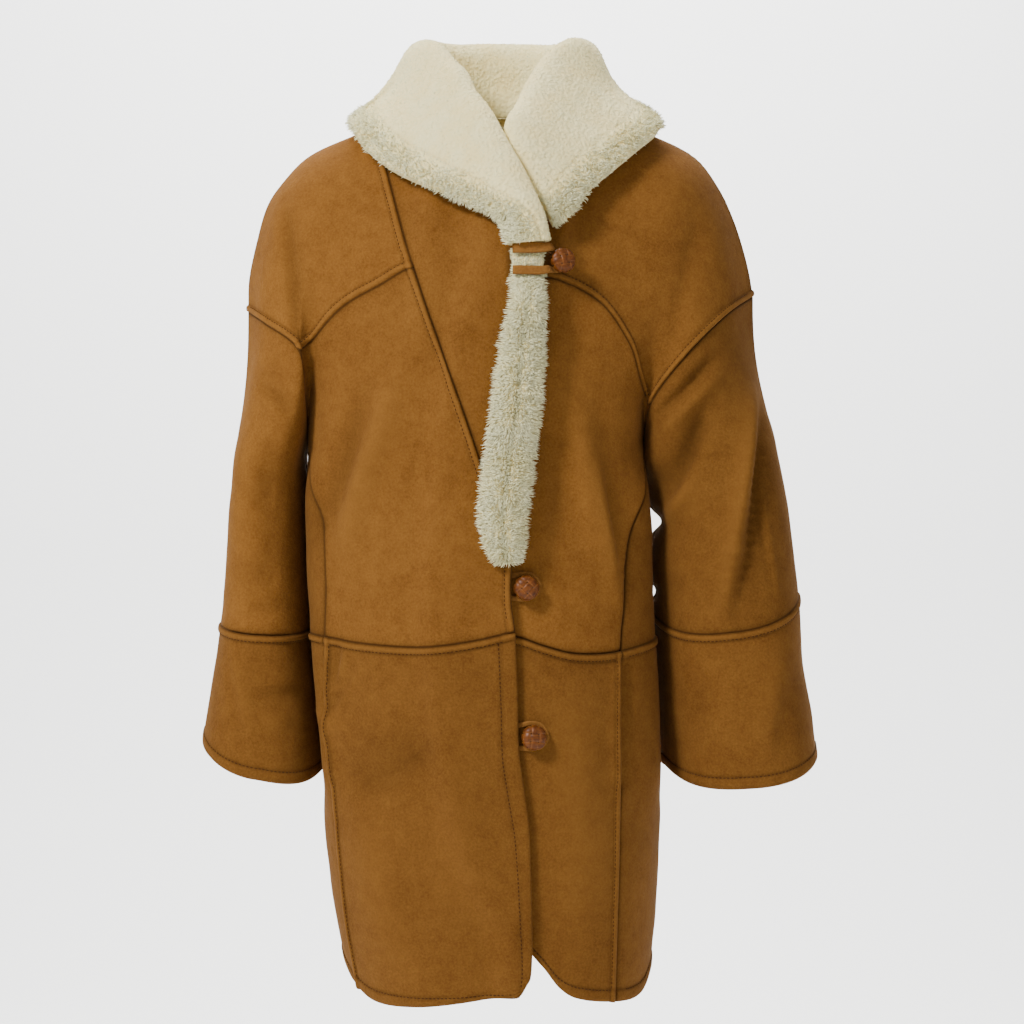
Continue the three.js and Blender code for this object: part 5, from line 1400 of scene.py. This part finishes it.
def build_loop(name, node, path, shift):
    count = 110
    keys = np.arange(len(path))
    at = Curve(*np.column_stack([keys, path]))(np.linspace(0, len(path) - 1, count))
    x, z = at[:, 0] + shift[0], at[:, 1] + shift[1]
    over, over_normal = over_sheet(RIGHT_FRONT, x, z, at[:, 2])
    under, under_normal = over_sheet(LEFT_FRONT, x, z, at[:, 2])
    share = ease(at[:, 4])[:, None]
    centre, normal = mix(under, over, share), unit(mix(under_normal, over_normal, share))
    run = unit(np.gradient(centre, axis=0))
    side = unit(np.cross(run, normal))
    up = unit(np.cross(side, run))
    up = np.where((up * normal).sum(-1, keepdims=True) < 0, -up, up)
    outline = [(-0.5, 0.15), (-0.5, 0.42), (-0.46, 0.5), (-0.5, 0.6), (-0.48, 0.9), (-0.3, 1.04), (0, 1.08),
               (0.3, 1.04), (0.48, 0.9), (0.5, 0.6), (0.46, 0.5), (0.5, 0.42), (0.5, 0.15), (0, 0.0)]
    rings = np.stack([
        centre + side * (a * at[:, 3:4]) + up * (b * LOOP_THICKNESS) for a, b in outline], 1)
    # Painted light round each loop: painted shade in the side notches and on the underside, a painted
    # highlight on the top's shoulders
    painted_light_round_loop = np.array([0.1, 0.1, 0.9, 0.0, -0.3, -0.1, 0.05, -0.1, -0.3, 0.0, 0.9, 0.1, 0.1, 0.5])
    faces = ring_faces(count, len(outline))
    mesh_points = rings.reshape(-1, 3)
    mesh_points = mesh_points + 0.15 * noise(mesh_points, 3, 51)[:, None]
    piece = mesh_object(name, mesh_points, faces, [LOOP], shade=np.tile(painted_light_round_loop, count))
    dress(piece, node)
    return piece


def build_button(name, node, x, z, shank, seat, twist):
    """A knot of leather strips, woven over and under each other round a core."""
    foot, normal = over_sheet(LEFT_FRONT, np.array(float(x)), np.array(float(z)), seat)
    across = unit(np.cross(normal, np.array([0.0, 0.0, 1.0])))
    upward = np.cross(across, normal)
    e1 = across * math.cos(twist) + upward * math.sin(twist)
    e2 = upward * math.cos(twist) - across * math.sin(twist)
    belly, high, low = shank + 4.4, 7.2, 4.0
    points, faces, shade = [], [], []

    def add(rings, painted_light_and_tone):
        start = sum(len(p) for p in points)
        count, sides = rings.shape[:2]
        local = rings.reshape(-1, 3)
        points.append(foot + local[:, :1] * e1 + local[:, 1:2] * e2 + local[:, 2:] * normal)
        faces.extend(tuple(corner + start for corner in face) for face in ring_faces(count, sides))
        shade.append(np.broadcast_to(painted_light_and_tone, (count, sides)).ravel())

    pitch, half, reach = 7.9, 3.65, BUTTON_RADIUS
    turn = np.linspace(-2.2, 2.2, 49)
    section = [(-1, -0.75), (-1, -0.1), (-0.86, 0.3), (-0.45, 0.52), (0, 0.6), (0.45, 0.52), (0.86, 0.3),
               (1, -0.1), (1, -0.75), (0, -0.9)]
    for direction in (0, 1):
        for k in (-1, 0, 1):
            lane = k * pitch
            weave = 0.55 * np.cos(math.pi * np.sin(turn) * 0.9 * reach / pitch)
            weave = weave * (1 if (k + direction) % 2 == 0 else -1)
            ring = []
            for across_strip, b in section:
                v = lane + across_strip * half
                round_share = math.sqrt(max(1 - (v / BUTTON_RADIUS) ** 2, 0.02))
                lift = 0.9 * (weave + b * 1.3)
                depth = np.where(np.cos(turn) > 0, high, low)
                ring.append(np.stack([
                    (BUTTON_RADIUS - 0.7 + lift) * round_share * np.sin(turn),
                    v * (1 + 0.4 * lift / BUTTON_RADIUS),
                    belly + (depth + lift) * round_share * np.cos(turn)], -1))
            ring = np.stack(ring, 1)
            if direction:
                ring = ring[..., [1, 0, 2]]
            # Painted shade on each strip's underside and flanks where it dives under, lighter along its upper
            # edges
            add(ring, np.array([0.9, 0.7, -0.25, 0.1, 0.05, 0.1, -0.25, 0.7, 0.9, 0.9]))
    angle = np.linspace(0, 2 * math.pi, 33)[:-1]
    core = [(3.6, 0.0), (3.4, shank + 0.6), (BUTTON_RADIUS * 0.72, shank + 1.4), (BUTTON_RADIUS - 1.6, belly),
            (BUTTON_RADIUS * 0.7, belly + high * 0.6), (BUTTON_RADIUS * 0.3, belly + high * 0.82)]
    rings = np.array([[(r * math.cos(a), r * math.sin(a), h) for a in angle] for r, h in core])
    # The core is painted in shade
    add(rings, 0.9)
    piece = mesh_object(name, np.concatenate(points), faces, [LEATHER], shade=np.concatenate(shade))
    dress(piece, node)
    return piece


# Sewing: a dash at each stitch, sunk a little at its ends
STITCH_PITCH, STITCH_LENGTH = 4.2, 2.9


def inset_path(panel, side, distance, trim):
    """A line on a panel at a distance from one of its edges."""
    points, normals, away = panel.points, panel.normals, panel.away[side]
    if side in ("top", "bottom"):
        points, normals, away = (np.swapaxes(a, 0, 1) for a in (points, normals, away))
    if side in ("bottom", "right"):
        points, normals, away = points[:, ::-1], normals[:, ::-1], away[:, ::-1]
    place = np.array([np.interp(distance, a, np.arange(len(a))) for a in away])
    i, low = np.arange(len(place)), place.astype(int)
    high, f = np.minimum(low + 1, points.shape[1] - 1), (place - low)[:, None]
    line, facing = mix(points[i, low], points[i, high], f), mix(normals[i, low], normals[i, high], f)
    run = np.concatenate([[0], np.cumsum(np.linalg.norm(np.diff(line, axis=0), axis=1))])
    keep = (run > trim) & (run < run[-1] - trim)
    return line[keep], facing[keep]


def stitches(name, paths):
    """A joined mesh of dashes along the paths."""
    centres, runs, ups = [], [], []
    for line, facing in paths:
        if len(line) < 2:
            continue
        run = np.concatenate([[0], np.cumsum(np.linalg.norm(np.diff(line, axis=0), axis=1))])
        places = np.arange(STITCH_PITCH, run[-1] - STITCH_PITCH, STITCH_PITCH)
        if not len(places):
            continue
        spread = lambda values, at: np.stack([np.interp(at, run, values[:, k]) for k in range(3)], -1)
        centres.append(spread(line, places))
        runs.append(unit(spread(line, places + 1) - spread(line, places - 1)))
        ups.append(unit(spread(facing, places)))
    centre, run, up = (np.concatenate(a) for a in (centres, runs, ups))
    side = unit(np.cross(run, up))
    half = STITCH_LENGTH / 2
    rings = [(-half, 0.22, -0.35), (-half * 0.7, 0.45, 0.1), (0, 0.5, 0.22), (half * 0.7, 0.45, 0.1),
             (half, 0.22, -0.35)]
    corners = [(1, 0), (0, 1), (-1, 0), (0, -1)]
    vertices = [centre + run * a + side * (r * c) + up * (lift + r * d)
                for a, r, lift in rings for c, d in corners]
    vertices = np.stack(vertices, 1).reshape(-1, 3)
    pattern = ring_faces(len(rings), len(corners))
    faces = [tuple(v + i * len(rings) * len(corners) for v in f) for i in range(len(centre)) for f in pattern]
    piece = mesh_object(name, vertices, faces, [THREAD], shade=np.zeros(len(vertices)))
    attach(piece, "root")
    return piece


STITCH_LINES = {"band": [7.2], "hem": [12.2], "edge": [18.0]}


def panel_stitches(panel):
    paths = []
    for side, kind in panel.kinds.items():
        for distance in STITCH_LINES.get(kind, []):
            paths.append(inset_path(panel, side, distance, 6))
    return stitches(panel.name + "_stitches", paths) if paths else None


for panel in (*front_panels(), *back_panels(), *side_panels(), *sleeve_panels()):
    build_panel(panel)
build_collar()
build_strip()
build_loop("loop_1_suede", "loop_1", TOP_LOOP, (0, 0))
for i, (x, z, shank, seat) in enumerate(BUTTONS, 1):
    if i > 1:
        build_loop(f"loop_{i}_suede", f"loop_{i}", LOW_LOOP, (x - 1, z + 1))
    build_button(f"button_{i}_knot", f"button_{i}", x, z, shank, seat, 0.5 + 0.9 * i)


# Floor, backdrop and light
def add_stage():
    plain = Nodes("backdrop")
    plain.shader.inputs["Base Color"].default_value = (0.9, 0.9, 0.89, 1)
    plain.shader.inputs["Roughness"].default_value = 0.9
    turn = np.linspace(0, math.pi / 2, 13)
    profile = [(-6.0, -1.5)] + [(3.5 + math.sin(a), -0.5 - math.cos(a)) for a in turn] + [(4.5, 4.0)]
    points = np.array([(x, y, z) for x in (-6.0, 6.0) for y, z in profile]) / METRES
    count = len(profile)
    faces = np.array([(i, i + 1, i + 1 + count, i + count) for i in range(count - 1)])
    mesh_object("floor", points, faces, [plain.material])


def add_light(name, place, target, size, power):
    data = bpy.data.lights.new(name, "AREA")
    data.shape, data.size, data.energy = "DISK", size, power
    light = bpy.data.objects.new(name, data)
    light.location = place
    aim = np.array(target) - np.array(place)
    light.rotation_euler = (
        math.acos(-aim[2] / np.linalg.norm(aim)), 0, math.atan2(aim[1], aim[0]) - math.pi / 2)
    bpy.context.scene.collection.objects.link(light)


def add_world():
    world = bpy.data.worlds.new("studio")
    world.use_nodes = True
    world.node_tree.nodes["Background"].inputs["Color"].default_value = (1, 1, 1, 1)
    world.node_tree.nodes["Background"].inputs["Strength"].default_value = 0.55
    bpy.context.scene.world = world


add_stage()
add_world()
# Lights: name, place, target, size, power
for light in (
    ("key", (-2.0, -2.4, 1.9), (0, 0, -0.3), 0.9, 190),
    ("fill", (1.8, -2.4, 0.3), (0, 0, -0.4), 1.8, 8),
    ("back_wall", (0, 1.8, 2.8), (0, 4.2, -0.3), 2.5, 560),
):
    add_light(*light)
